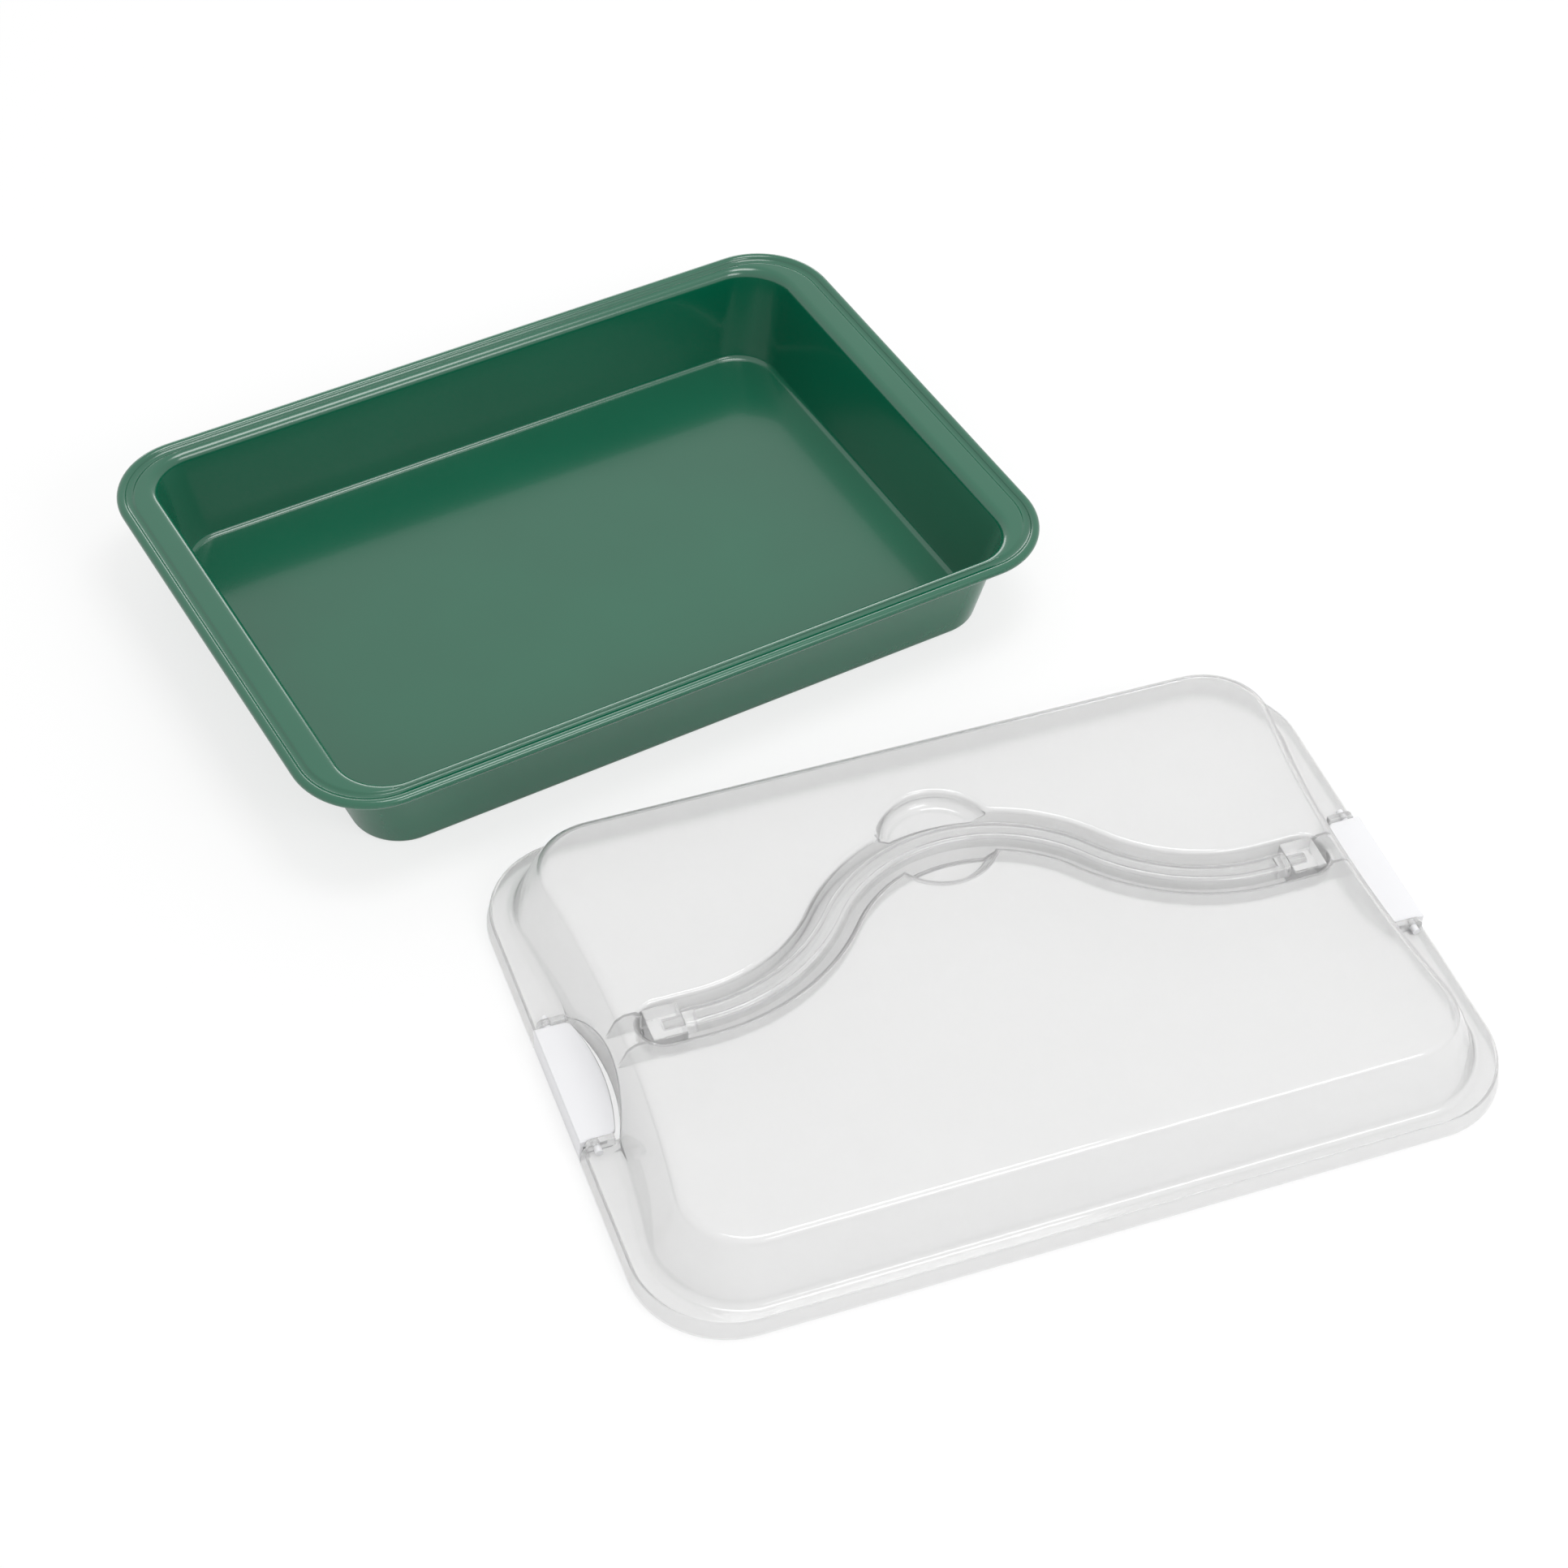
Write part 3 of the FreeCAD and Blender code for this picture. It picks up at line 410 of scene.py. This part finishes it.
@dataclass
class CakePan:
    """The drawn pan: one steel sheet with a flange, a shallow gutter and a rolled bead.

    Sizes are in millimetres and angles in degrees.
    """

    length: float = 420.0
    width: float = 290.0
    height: float = 56.0
    gauge: float = 0.8
    bead: float = 5.0
    bead_rise: float = 1.0
    bead_end: float = -145.0
    gutter: float = 3.2
    gutter_depth: float = 0.9
    rim_corner: float = 42.0
    end_flange: float = 22.0
    side_flange: float = 13.0
    end_draft: float = 10.0
    side_draft: float = 7.2
    wall_corner: float = 25.0
    floor_bend: float = 3.2
    lip_bend: float = 5.5
    floor_steps: int = 10
    lip_steps: int = 8
    gutter_steps: int = 8
    over_steps: int = 26
    back_steps: int = 18
    steel: CoatedSteel = CoatedSteel("enamelled_steel_green")

    def rolled_edge(self, half: float, gutter_top: float) -> tuple[np.ndarray, np.ndarray]:
        """Rolls the sheet's edge into the bead.

        Each face's arc meets the gutter at 180 degrees less the arcsine of the gutter's height over
        the bead's centre, divided by the arc's radius.

        Args:
            half: Half the pan's size in this direction.
            gutter_top: The height of the gutter's upper face.

        Returns:
            The outer face's arc, over and down, and the inner face's, back up to the gutter.
        """
        radius = self.bead / 2
        inner = radius - self.gauge
        centre = (half - radius, self.height - radius)
        rise = gutter_top - centre[1]
        join = 180 - math.degrees(math.asin(rise / radius))
        join_under = 180 - math.degrees(math.asin((rise - self.gauge) / inner))
        return (arc(centre, radius, join, self.bead_end, self.over_steps),
                arc(centre, inner, self.bead_end, join_under, self.back_steps))

    def gutter_edge(self, edge: float, gutter_top: float) -> np.ndarray:
        """Lowers the flange into the gutter along half a wave.

        At t, from -1 to 1, a point lies t depths out from the edge and (1 - sin(90 t)) / 2 depths
        over the gutter.

        Args:
            edge: How far out the edge's middle is.
            gutter_top: The height of the gutter's upper face.

        Returns:
            (count, 2) points of the upper face.
        """
        t = np.linspace(-1, 1, self.gutter_steps + 1)
        over = (1 - np.sin(t * math.pi / 2)) / 2
        return np.array([edge, gutter_top]) + self.gutter_depth * np.stack([t, over], axis=1)

    def profile(self, half: float, flange: float, draft: float) -> np.ndarray:
        """Follows the sheet from the floor's middle up, over the bead, and back under the floor.

        Args:
            half: Half the pan's size in this direction.
            flange: The flange's width in this direction.
            draft: How far the wall leans out from the floor to the mouth.

        Returns:
            (count, 2) distance from the pan's middle, and height.
        """
        gauge = self.gauge
        top = self.height - self.bead_rise
        under = top - gauge
        gutter_top = top - self.gutter_depth
        mouth = half - flange
        low = mouth - draft
        foot_in, foot_out = (low, gauge), (low + gauge, 0)
        mouth_in, mouth_out = (mouth, top), (mouth + gauge, under)
        floor_in = bend((0, gauge), foot_in, mouth_in, self.floor_bend, self.floor_steps)
        lip_in = bend(foot_in, mouth_in, (half, top), self.lip_bend, self.lip_steps)
        lip_out = bend((half, under), mouth_out, foot_out, self.lip_bend - gauge, self.lip_steps)
        floor_out = bend(mouth_out, foot_out, (0, 0), self.floor_bend + gauge, self.floor_steps)
        over, back = self.rolled_edge(half, gutter_top)
        step_in = self.gutter_edge(over[0, 0] - self.gutter, gutter_top)
        step_out = step_in[::-1] - np.array([0, gauge])
        # Rows of points on the floor, up the wall, and on the flange's two faces.
        out = np.linspace(0.02, 1, 7)[:-1]
        up = np.linspace(0, 1, 6)[1:-1]
        flange_in, flange_out = [0.4, 0.8], [0.3, 0.7]
        return np.concatenate([
            between(np.array([0, gauge]), floor_in[0], out), floor_in,
            between(floor_in[-1], lip_in[0], up), lip_in,
            between(lip_in[-1], step_in[0], flange_in), step_in, over,
            back, step_out, between(step_out[-1], lip_out[0], flange_out),
            lip_out, between(lip_out[-1], floor_out[0], up),
            floor_out, between(np.array([0, 0]), floor_out[-1], out[::-1]),
        ])

    def corners(self, end: np.ndarray) -> np.ndarray:
        """Gives each ring its corner radius.

        It is the wall's radius plus the ring's distance out from the wall's line, the rim's radius
        less the distance in from the rim on the bead, and an even change over the flange.

        Args:
            end: (count, 2) distance and height of the profile at the ends.

        Returns:
            (count,) radii.
        """
        half = self.length / 2
        top = self.height - self.bead_rise
        mouth = half - self.end_flange
        lean = self.end_draft / (top - self.gauge)
        x, z = end[:, 0], end[:, 1]
        wall_line = mouth - (top - z) * lean
        near = self.wall_corner + (x - wall_line)
        rim = self.rim_corner - (half - x)
        lip_end = mouth + self.lip_bend
        share = np.clip((x - lip_end) / (half - self.bead - lip_end), 0, 1)
        radius = near * (1 - share) + rim * share
        floor = mouth - self.end_draft - self.floor_bend
        return np.where(x < floor, x / floor * (self.wall_corner - self.floor_bend), radius)

    def build(self) -> bpy.types.Object:
        """Makes the sheet and dresses it.

        Returns:
            The sheet.
        """
        end = self.profile(self.length / 2, self.end_flange, self.end_draft)
        side = self.profile(self.width / 2, self.side_flange, self.side_draft)
        rings = Rings()
        pan = rings.closed("pan_sheet", rings.surface(end, side, self.corners(end)) * MM)
        pan.data.materials.append(self.steel.material())
        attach(pan, Body.PAN_AND_LID.value)
        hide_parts("cake_pan")
        return pan


@dataclass(frozen=True)
class BendShading:
    """Shades the slanted strips of a solid as round bends between the faces on both sides.

    Triangles that meet at less than the fold, in degrees, are one face. A face is a bend when it is
    narrow, in metres, and neither level nor upright. A bend takes its normals from the faces that
    it joins, where they turn by less than the reach, so they change evenly across it. Every other
    face keeps its own.
    """

    fold: float = 18.5
    narrow: float = 6.5 * MM
    level: float = 0.985
    upright: float = 0.08
    reach: float = 62.0

    @staticmethod
    def joined(count: int, one: np.ndarray, two: np.ndarray) -> np.ndarray:
        """Numbers the sets of triangles that the pairs join: each takes the lowest number it meets.

        Args:
            count: How many triangles there are.
            one: The first triangle of each pair.
            two: The second.

        Returns:
            (count,) the number of each triangle's set, from zero up.
        """
        label = np.arange(count)
        while True:
            before = label.copy()
            np.minimum.at(label, one, label[two])
            np.minimum.at(label, two, label[one])
            label = label[label]
            if np.array_equal(before, label):
                return np.unique(label, return_inverse=True)[1]

    @staticmethod
    def shared_edges(points: np.ndarray,
                     triangles: np.ndarray) -> tuple[np.ndarray, np.ndarray, np.ndarray]:
        """Finds the edges that two triangles share.

        Args:
            points: (count, 3) places.
            triangles: (count, 3) point numbers.

        Returns:
            The triangle on one side, the one on the other, and the edge's length.
        """
        start, end = triangles.ravel(), np.roll(triangles, -1, axis=1).ravel()
        key = np.minimum(start, end) * len(points) + np.maximum(start, end)
        order = np.argsort(key, kind="stable")
        same = key[order][1:] == key[order][:-1]
        first, second = order[:-1][same], order[1:][same]
        length = np.linalg.norm(points[start] - points[end], axis=1)[first]
        return first // 3, second // 3, length

    def faces(self, points: np.ndarray, triangles: np.ndarray, flat: np.ndarray,
              size: np.ndarray) -> tuple[np.ndarray, np.ndarray, np.ndarray]:
        """Joins the triangles into faces and tells which of those are bends.

        A face's width is twice its area over its border, and its tilt is its mean upward part.

        Args:
            points: (count, 3) places.
            triangles: (count, 3) point numbers.
            flat: Each triangle's normal.
            size: Each triangle's area.

        Returns:
            Each triangle's face, each face's area, and whether each face is a bend.
        """
        one, two, length = self.shared_edges(points, triangles)
        smooth = np.einsum("ij,ij->i", flat[one], flat[two]) > math.cos(math.radians(self.fold))
        face = self.joined(len(triangles), one[smooth], two[smooth])
        area = np.bincount(face, size)
        border = np.zeros(len(area))
        split = face[one] != face[two]
        for side in (one, two):
            np.add.at(border, face[side[split]], length[split])
        tilt = np.bincount(face, size * np.abs(flat[:, 2])) / area
        width = 2 * area / np.maximum(border, TINY)
        return face, area, (width < self.narrow) & (tilt < self.level) & (tilt > self.upright)

    def normals(self, points: np.ndarray, triangles: np.ndarray) -> np.ndarray:
        """Works out a normal for each corner of each triangle.

        A face's normal at a point is the sum of its triangles' normals there, each times the
        triangle's angle. Where a bend meets other faces, the largest of them gives its own.

        Args:
            points: (count, 3) places.
            triangles: (count, 3) point numbers.

        Returns:
            An array of (triangles, 3, 3): corner by corner.
        """
        corner = points[triangles]
        cross = np.cross(corner[:, 1] - corner[:, 0], corner[:, 2] - corner[:, 0])
        flat, size = unit(cross), np.linalg.norm(cross, axis=1) / 2
        face, area, is_bend = self.faces(points, triangles, flat, size)
        sides = unit(np.roll(corner, -1, axis=1) - corner)
        turn = -np.einsum("ijk,ijk->ij", sides, np.roll(sides, 1, axis=1))
        angle = np.arccos(np.clip(turn, -1, 1))
        pair = triangles * len(area) + face[:, None]
        spots, spot = np.unique(pair.ravel(), return_inverse=True)
        total = np.zeros((len(spots), 3))
        np.add.at(total, spot.ravel(), (angle[:, :, None] * flat[:, None, :]).reshape(-1, 3))
        total = unit(total)
        spot_point, spot_face = spots // len(area), spots % len(area)
        rank = np.where(is_bend[spot_face], -1.0, area[spot_face])
        by_rank = np.lexsort((rank, spot_point))
        best = np.full(len(points), -1)
        best[spot_point[by_rank]] = by_rank
        chief = best[spot_point]
        near = np.einsum("ij,ij->i", total, total[chief]) > math.cos(math.radians(self.reach))
        taken = is_bend[spot_face] & (rank[chief] > 0) & near
        return np.where(taken[:, None], total[chief], total)[spot].reshape(-1, 3, 3)


@dataclass
class Moulding:
    """A moulded piece whose form is the solid's, with its bends shaded round."""

    node: str
    name: str
    body: Body
    slot: str
    finish: Finish
    shading: BendShading = BendShading()

    def skin(self) -> bpy.types.Object:
        """Copies the solid's triangles into one joined skin with shared points.

        Returns:
            The skin.
        """
        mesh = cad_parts[self.node].data
        places = np.empty(len(mesh.vertices) * 3)
        mesh.vertices.foreach_get("co", places)
        rounded = np.round(places.reshape(-1, 3), SAME_PLACE)
        shared, numbers = np.unique(rounded, axis=0, return_inverse=True)
        corners = np.empty(len(mesh.loops), dtype=np.int64)
        mesh.loops.foreach_get("vertex_index", corners)
        triangles = numbers.reshape(-1)[corners].reshape(-1, 3)
        triangles = triangles[(triangles != np.roll(triangles, -1, axis=1)).all(axis=1)]
        piece = piece_of(self.name, shared, triangles)
        normals = self.shading.normals(shared, triangles)
        piece.data.normals_split_custom_set(normals.reshape(-1, 3).tolist())
        return piece

    def build(self) -> bpy.types.Object:
        """Makes the skin and dresses it.

        Returns:
            The skin.
        """
        piece = self.skin()
        piece.data.materials.append(self.finish.material())
        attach(piece, self.body.value)
        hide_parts(self.node)
        return piece


@dataclass(frozen=True)
class LidPlace:
    """Where the lid stands beside the pan: its middle in mm, and its turn in degrees."""

    right: float = 38.0
    forward: float = 340.0
    turn: float = 10.0

    def put(self, points: np.ndarray) -> np.ndarray:
        """Turns points of the lid's own frame clockwise and moves them to the lid's place.

        Args:
            points: (..., 3) places in mm.

        Returns:
            The same points in metres.
        """
        c, s = math.cos(math.radians(self.turn)), math.sin(math.radians(self.turn))
        x, y, z = points[..., 0], points[..., 1], points[..., 2]
        turned = [self.right + c * x + s * y, -self.forward - s * x + c * y, z]
        return np.stack(turned, axis=-1) * MM


@dataclass
class CarryHandle:
    """The bell shaped bar that folds into the lid's channel, with a pin at each end.

    Sizes are in millimetres and angles in degrees.
    """

    finish: Finish
    place: LidPlace = LidPlace()
    reach: float = 153.0
    rise: float = 67.014
    crown: float = 85.068
    valley: float = 100.062
    middle: float = 36.0
    width: float = 11.6
    height: float = 8.4
    round_edge: float = 2.8
    groove_width: float = 5.6
    groove_depth: float = 1.4
    hollow_width: float = 6.4
    hollow_depth: float = 4.8
    eye: float = 6.0
    pin_radius: float = 3.0
    pin_length: float = 9.0
    pin_chamfer: float = 0.5
    crease: float = 38.0
    arc_steps: int = 96
    edge_steps: int = 7

    def path(self, reach: float) -> tuple[np.ndarray, np.ndarray]:
        """Follows the bell: straight end, valley arc, the crown's arc, valley arc, straight end.

        The valley's centre is as far out as makes the two arcs touch: the root of the square of
        both radii together less the square of both radii less the rise.

        Args:
            reach: How far out the straight ends go.

        Returns:
            The points and the sideways direction at each.
        """
        both = self.crown + self.valley
        near = math.sqrt(both ** 2 - (both - self.rise) ** 2)
        turn = math.asin(near / both)
        t = np.linspace(0, turn, self.arc_steps + 1)
        out = np.stack([-near + self.valley * np.sin(t), self.valley - self.valley * np.cos(t)],
                       axis=1)
        out_side = np.stack([-np.sin(t), np.cos(t)], axis=1)
        u = np.linspace(turn, 0, self.arc_steps + 1)[1:]
        over = np.stack([-self.crown * np.sin(u),
                         self.rise - self.crown + self.crown * np.cos(u)], axis=1)
        over_side = np.stack([-np.sin(u), np.cos(u)], axis=1)
        left = np.concatenate([[[-reach, 0.0]], out, over])
        side = np.concatenate([[[0.0, 1.0]], out_side, over_side])
        flip = np.array([-1.0, 1.0])
        return (np.concatenate([left, left[-2::-1] * flip]),
                np.concatenate([side, side[-2::-1] * flip]))

    def section(self, deep: bool) -> np.ndarray:
        """Draws the bar's section: a rounded oblong, with a groove on top and a hollow below.

        Args:
            deep: Whether the groove and the hollow have their depth, or lie flat as at the ends.

        Returns:
            (count, 2) sideways and upward distances from the bar's middle.
        """
        w, h, r = self.width / 2, self.height / 2, self.round_edge
        groove, hollow = self.groove_width / 2, self.hollow_width / 2
        sunk = h - (self.groove_depth if deep else 0.0)
        raised = (self.hollow_depth if deep else 0.0) - h
        quarters = ((1, 1, 0), (-1, 1, 90), (-1, -1, 180), (1, -1, 270))
        corner = [arc((across * (w - r), up * (h - r)), r, start, start + 90, self.edge_steps)
                  for across, up, start in quarters]
        top = np.array([[groove, h], [groove, sunk], [-groove, sunk], [-groove, h]])
        under = np.array([[-hollow, -h], [-hollow, raised], [hollow, raised], [hollow, -h]])
        return np.concatenate([corner[0], top, corner[1], corner[2], under, corner[3]])

    def ring(self, point: np.ndarray, side: np.ndarray, section: np.ndarray) -> np.ndarray:
        """Sets the section across the path: point + sideways * side, at middle + upward.

        Args:
            point: (count, 2) points of the path.
            side: (count, 2) the sideways direction at each.
            section: (around, 2) the section.

        Returns:
            An array of (count, around, 3).
        """
        plan = point[:, None, :] + section[None, :, :1] * side[:, None, :]
        up = np.broadcast_to(self.middle + section[:, 1], plan.shape[:2])
        return np.concatenate([plan, up[..., None]], axis=2)

    def pin_rings(self, section: np.ndarray, sign: float) -> np.ndarray:
        """Draws in the bar's end face to the pin's circle, point by point at the same angle.

        Args:
            section: (around, 2) the section of the bar's end.
            sign: Plus one for the right pin, minus one for the left.

        Returns:
            An array of (rings, around, 3), from left to right.
        """
        angle = np.arctan2(section[:, 1], section[:, 0])
        tip = self.reach + self.pin_length
        stations = [(self.reach, self.pin_radius), (tip - self.pin_chamfer, self.pin_radius),
                    (tip, self.pin_radius - self.pin_chamfer)]
        rings = [np.stack([np.full(angle.size, sign * x), radius * np.cos(angle),
                           self.middle + radius * np.sin(angle)], axis=1)
                 for x, radius in stations]
        return np.array(rings if sign > 0 else rings[::-1])

    def build(self) -> bpy.types.Object:
        """Makes the bar as one closed skin and dresses it.

        Returns:
            The bar.
        """
        solid, deep = self.section(False), self.section(True)
        points, sides = self.path(self.reach - self.eye)
        ends = np.array([[-self.reach, 0.0], [self.reach, 0.0]])
        straight = np.array([[0.0, 1.0]])
        grid = np.concatenate([
            self.pin_rings(solid, -1.0),
            self.ring(ends[:1], straight, solid),
            self.ring(points[:1], sides[:1], solid),
            self.ring(points, sides, deep),
            self.ring(points[-1:], sides[-1:], solid),
            self.ring(ends[1:], straight, solid),
            self.pin_rings(solid, 1.0),
        ])
        handle = Rings.closed("handle_bar", self.place.put(grid))
        handle.data.set_sharp_from_angle(angle=math.radians(self.crease))
        handle.data.materials.append(self.finish.material())
        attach(handle, Body.HANDLE.value)
        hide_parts("carry_handle")
        return handle


@dataclass
class CarryingLid:
    """The clear lid with its folding handle and two latches."""

    clear: ClearPlastic = ClearPlastic("clear_lid_plastic")
    handle_clear: ClearPlastic = ClearPlastic("clear_handle_plastic", tone="#F7F7F7",
                                              roughness=0.2, wave_height_mm=0.02)
    white: WhitePlastic = WhitePlastic("white_latch_plastic")

    def build(self) -> list[bpy.types.Object]:
        """Makes the shell, the latches and the handle.

        Returns:
            The pieces in that order.
        """
        mouldings = (
            Moulding("lid_shell", "lid_moulding", Body.PAN_AND_LID, "lid_clear", self.clear),
            Moulding("latch_left", "left_latch_moulding", Body.LEFT_LATCH, "latch_white",
                     self.white),
            Moulding("latch_right", "right_latch_moulding", Body.RIGHT_LATCH, "latch_white",
                     self.white),
        )
        pieces = [moulding.build() for moulding in mouldings]
        return pieces + [CarryHandle(self.handle_clear).build()]


# Studio


@dataclass
class Camera:
    """The photograph's viewing angle: a turn, a tilt and a roll about the pan's middle.

    Sizes are in millimetres and angles in degrees.
    """

    azimuth: float = -32.35
    elevation: float = 46.64
    roll: float = 2.89
    offset: tuple[float, float] = (-108.0, 106.3)
    distance: float = 1800.0
    focal_pixels: float = 4186.0
    sensor: float = 36.0

    def build(self) -> bpy.types.Object:
        """Makes the camera: its axes are the rows of roll times tilt times turn.

        Returns:
            The camera.
        """
        a, e, r = (math.radians(v) for v in (self.azimuth, self.elevation, self.roll))
        turn = Matrix(((math.cos(a), math.sin(a), 0), (-math.sin(a), math.cos(a), 0), (0, 0, 1)))
        tilt = Matrix(((1, 0, 0), (0, math.sin(e), math.cos(e)), (0, -math.cos(e), math.sin(e))))
        spin = Matrix(((math.cos(r), math.sin(r), 0), (-math.sin(r), math.cos(r), 0), (0, 0, 1)))
        axes = (spin @ tilt @ turn).transposed()
        place = axes @ Vector((-self.offset[0], -self.offset[1], self.distance)) * MM
        data = bpy.data.cameras.new("studio_camera")
        data.sensor_width = self.sensor
        data.lens = self.focal_pixels / PICTURE * self.sensor
        data.clip_end = 50.0
        camera = bpy.data.objects.new("studio_camera", data)
        camera.matrix_world = Matrix.Translation(place) @ axes.to_4x4()
        bpy.context.scene.collection.objects.link(camera)
        bpy.context.scene.camera = camera
        return camera


@dataclass(frozen=True)
class Softbox:
    """A soft lamp: where it stands, where it points, its sides in metres, and its watts."""

    name: str
    place: tuple[float, float, float]
    aim: tuple[float, float, float]
    sides: tuple[float, float]
    power: float

    def build(self) -> bpy.types.Object:
        """Makes the lamp and turns it to its aim.

        Returns:
            The lamp.
        """
        data = bpy.data.lights.new(self.name, "AREA")
        data.shape = "RECTANGLE"
        data.size, data.size_y = self.sides
        data.energy = self.power
        lamp = bpy.data.objects.new(self.name, data)
        way = Vector(self.aim) - Vector(self.place)
        lamp.location = self.place
        lamp.rotation_euler = way.to_track_quat("-Z", "Y").to_euler()
        bpy.context.scene.collection.objects.link(lamp)
        return lamp


@dataclass
class Studio:
    """A white floor that fades into a white surround, and soft lamps. Sizes are in metres."""

    floor_half: float = 6.0
    shine_through: float = 0.72
    fade_start: float = 0.9
    fade_end: float = 2.6
    floor_in_gloss: float = 0.33
    floor_tone: str = "#FCFCFC"
    surround: float = 0.73
    lamps: tuple[Softbox, ...] = (
        Softbox("over_head", (0.28, -0.15, 1.75), (0.05, -0.1, 0.0), (0.6, 0.75), 8.3),
        Softbox("from_behind", (0.9, 2.0, 0.5), (0.05, -0.1, 0.0), (1.8, 0.5), 8.0),
        Softbox("from_front", (0.45, -1.65, 1.35), (0.05, -0.2, 0.0), (0.9, 0.6), 8.3),
    )

    @staticmethod
    def seen_rays(tree: bpy.types.NodeTree, in_gloss: float) -> bpy.types.NodeSocket:
        """Marks the rays that come from the camera, by itself or by way of gloss or clear plastic.

        Args:
            tree: The node tree that it goes into.
            in_gloss: How much of it a glossy surface shows.

        Returns:
            The socket that gives the share.
        """
        path = add_node(tree, "ShaderNodeLightPath").outputs
        gloss = add_node(tree, "ShaderNodeMath", {"operation": "MULTIPLY", 1: in_gloss},
                         {0: path["Is Glossy Ray"]})
        outside = add_node(tree, "ShaderNodeMath", {"operation": "MAXIMUM"},
                           {0: path["Is Camera Ray"], 1: gloss.outputs[0]})
        both = add_node(tree, "ShaderNodeMath", {"operation": "MAXIMUM"},
                        {0: outside.outputs[0], 1: path["Is Transmission Ray"]})
        return both.outputs[0]

    def floor_material(self) -> bpy.types.Material:
        """Makes matt white paper that shines by itself for the seen rays.

        Near the pan it shines by a part, so that it keeps the shadows. Further out it shines
        fully, so that it has no horizon.

        Returns:
            The material.
        """
        material = bpy.data.materials.new("white_floor")
        material.use_nodes = True
        tree = material.node_tree
        tree.nodes.clear()
        matt = add_node(tree, "ShaderNodeBsdfDiffuse", {"Color": linear(self.floor_tone)})
        white = add_node(tree, "ShaderNodeEmission", {"Color": (1, 1, 1, 1), "Strength": 1.0})
        place = add_node(tree, "ShaderNodeTexCoord").outputs["Object"]
        distance = add_node(tree, "ShaderNodeVectorMath", {"operation": "LENGTH"},
                            {"Vector": place})
        fade = add_node(tree, "ShaderNodeMapRange",
                        {"From Min": self.fade_start, "From Max": self.fade_end,
                         "To Min": self.shine_through, "To Max": 1.0},
                        {"Value": distance.outputs["Value"]})
        amount = add_node(tree, "ShaderNodeMath", {"operation": "MULTIPLY"},
                          {0: self.seen_rays(tree, self.floor_in_gloss),
                           1: fade.outputs["Result"]})
        mixed = add_node(tree, "ShaderNodeMixShader", None,
                         {0: amount.outputs[0], 1: matt.outputs[0], 2: white.outputs[0]})
        add_node(tree, "ShaderNodeOutputMaterial", None, {"Surface": mixed.outputs[0]})
        return material

    def build_floor(self) -> None:
        """Lays the floor and gives it the floor's material."""
        half = self.floor_half
        corners = np.array([[-half, -half, 0], [half, -half, 0], [half, half, 0], [-half, half, 0]])
        floor = piece_of("studio_floor", corners, [[0, 1, 2, 3]])
        floor.data.materials.append(self.floor_material())

    def build_surround(self) -> None:
        """Makes the surround: full white where it is seen, and dimmer as light on the pieces."""
        world = bpy.data.worlds.new("white_surround")
        world.use_nodes = True
        bpy.context.scene.world = world
        sky = world.node_tree
        sky.nodes.clear()
        level = add_node(sky, "ShaderNodeMapRange",
                         {"From Min": 0.0, "From Max": 1.0, "To Min": self.surround, "To Max": 1.0},
                         {"Value": self.seen_rays(sky, 1.0)})
        light = add_node(sky, "ShaderNodeBackground", {"Color": (1, 1, 1, 1)},
                         {"Strength": level.outputs["Result"]})
        add_node(sky, "ShaderNodeOutputWorld", None, {"Surface": light.outputs[0]})

    def build(self) -> None:
        """Makes the floor, the surround and the lamps."""
        bpy.context.scene.view_settings.view_transform = "Standard"
        self.build_floor()
        self.build_surround()
        for lamp in self.lamps:
            lamp.build()


def main() -> None:
    """Builds the pan, the lid and the studio."""
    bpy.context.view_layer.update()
    pan = CakePan().build()
    log.info("%s: %d faces", pan.name, len(pan.data.polygons))
    for piece in CarryingLid().build():
        log.info("%s: %d faces", piece.name, len(piece.data.polygons))
    Studio().build()
    Camera().build()
    log.info("pan and lid are in place")


if __name__ == "__main__":
    main()
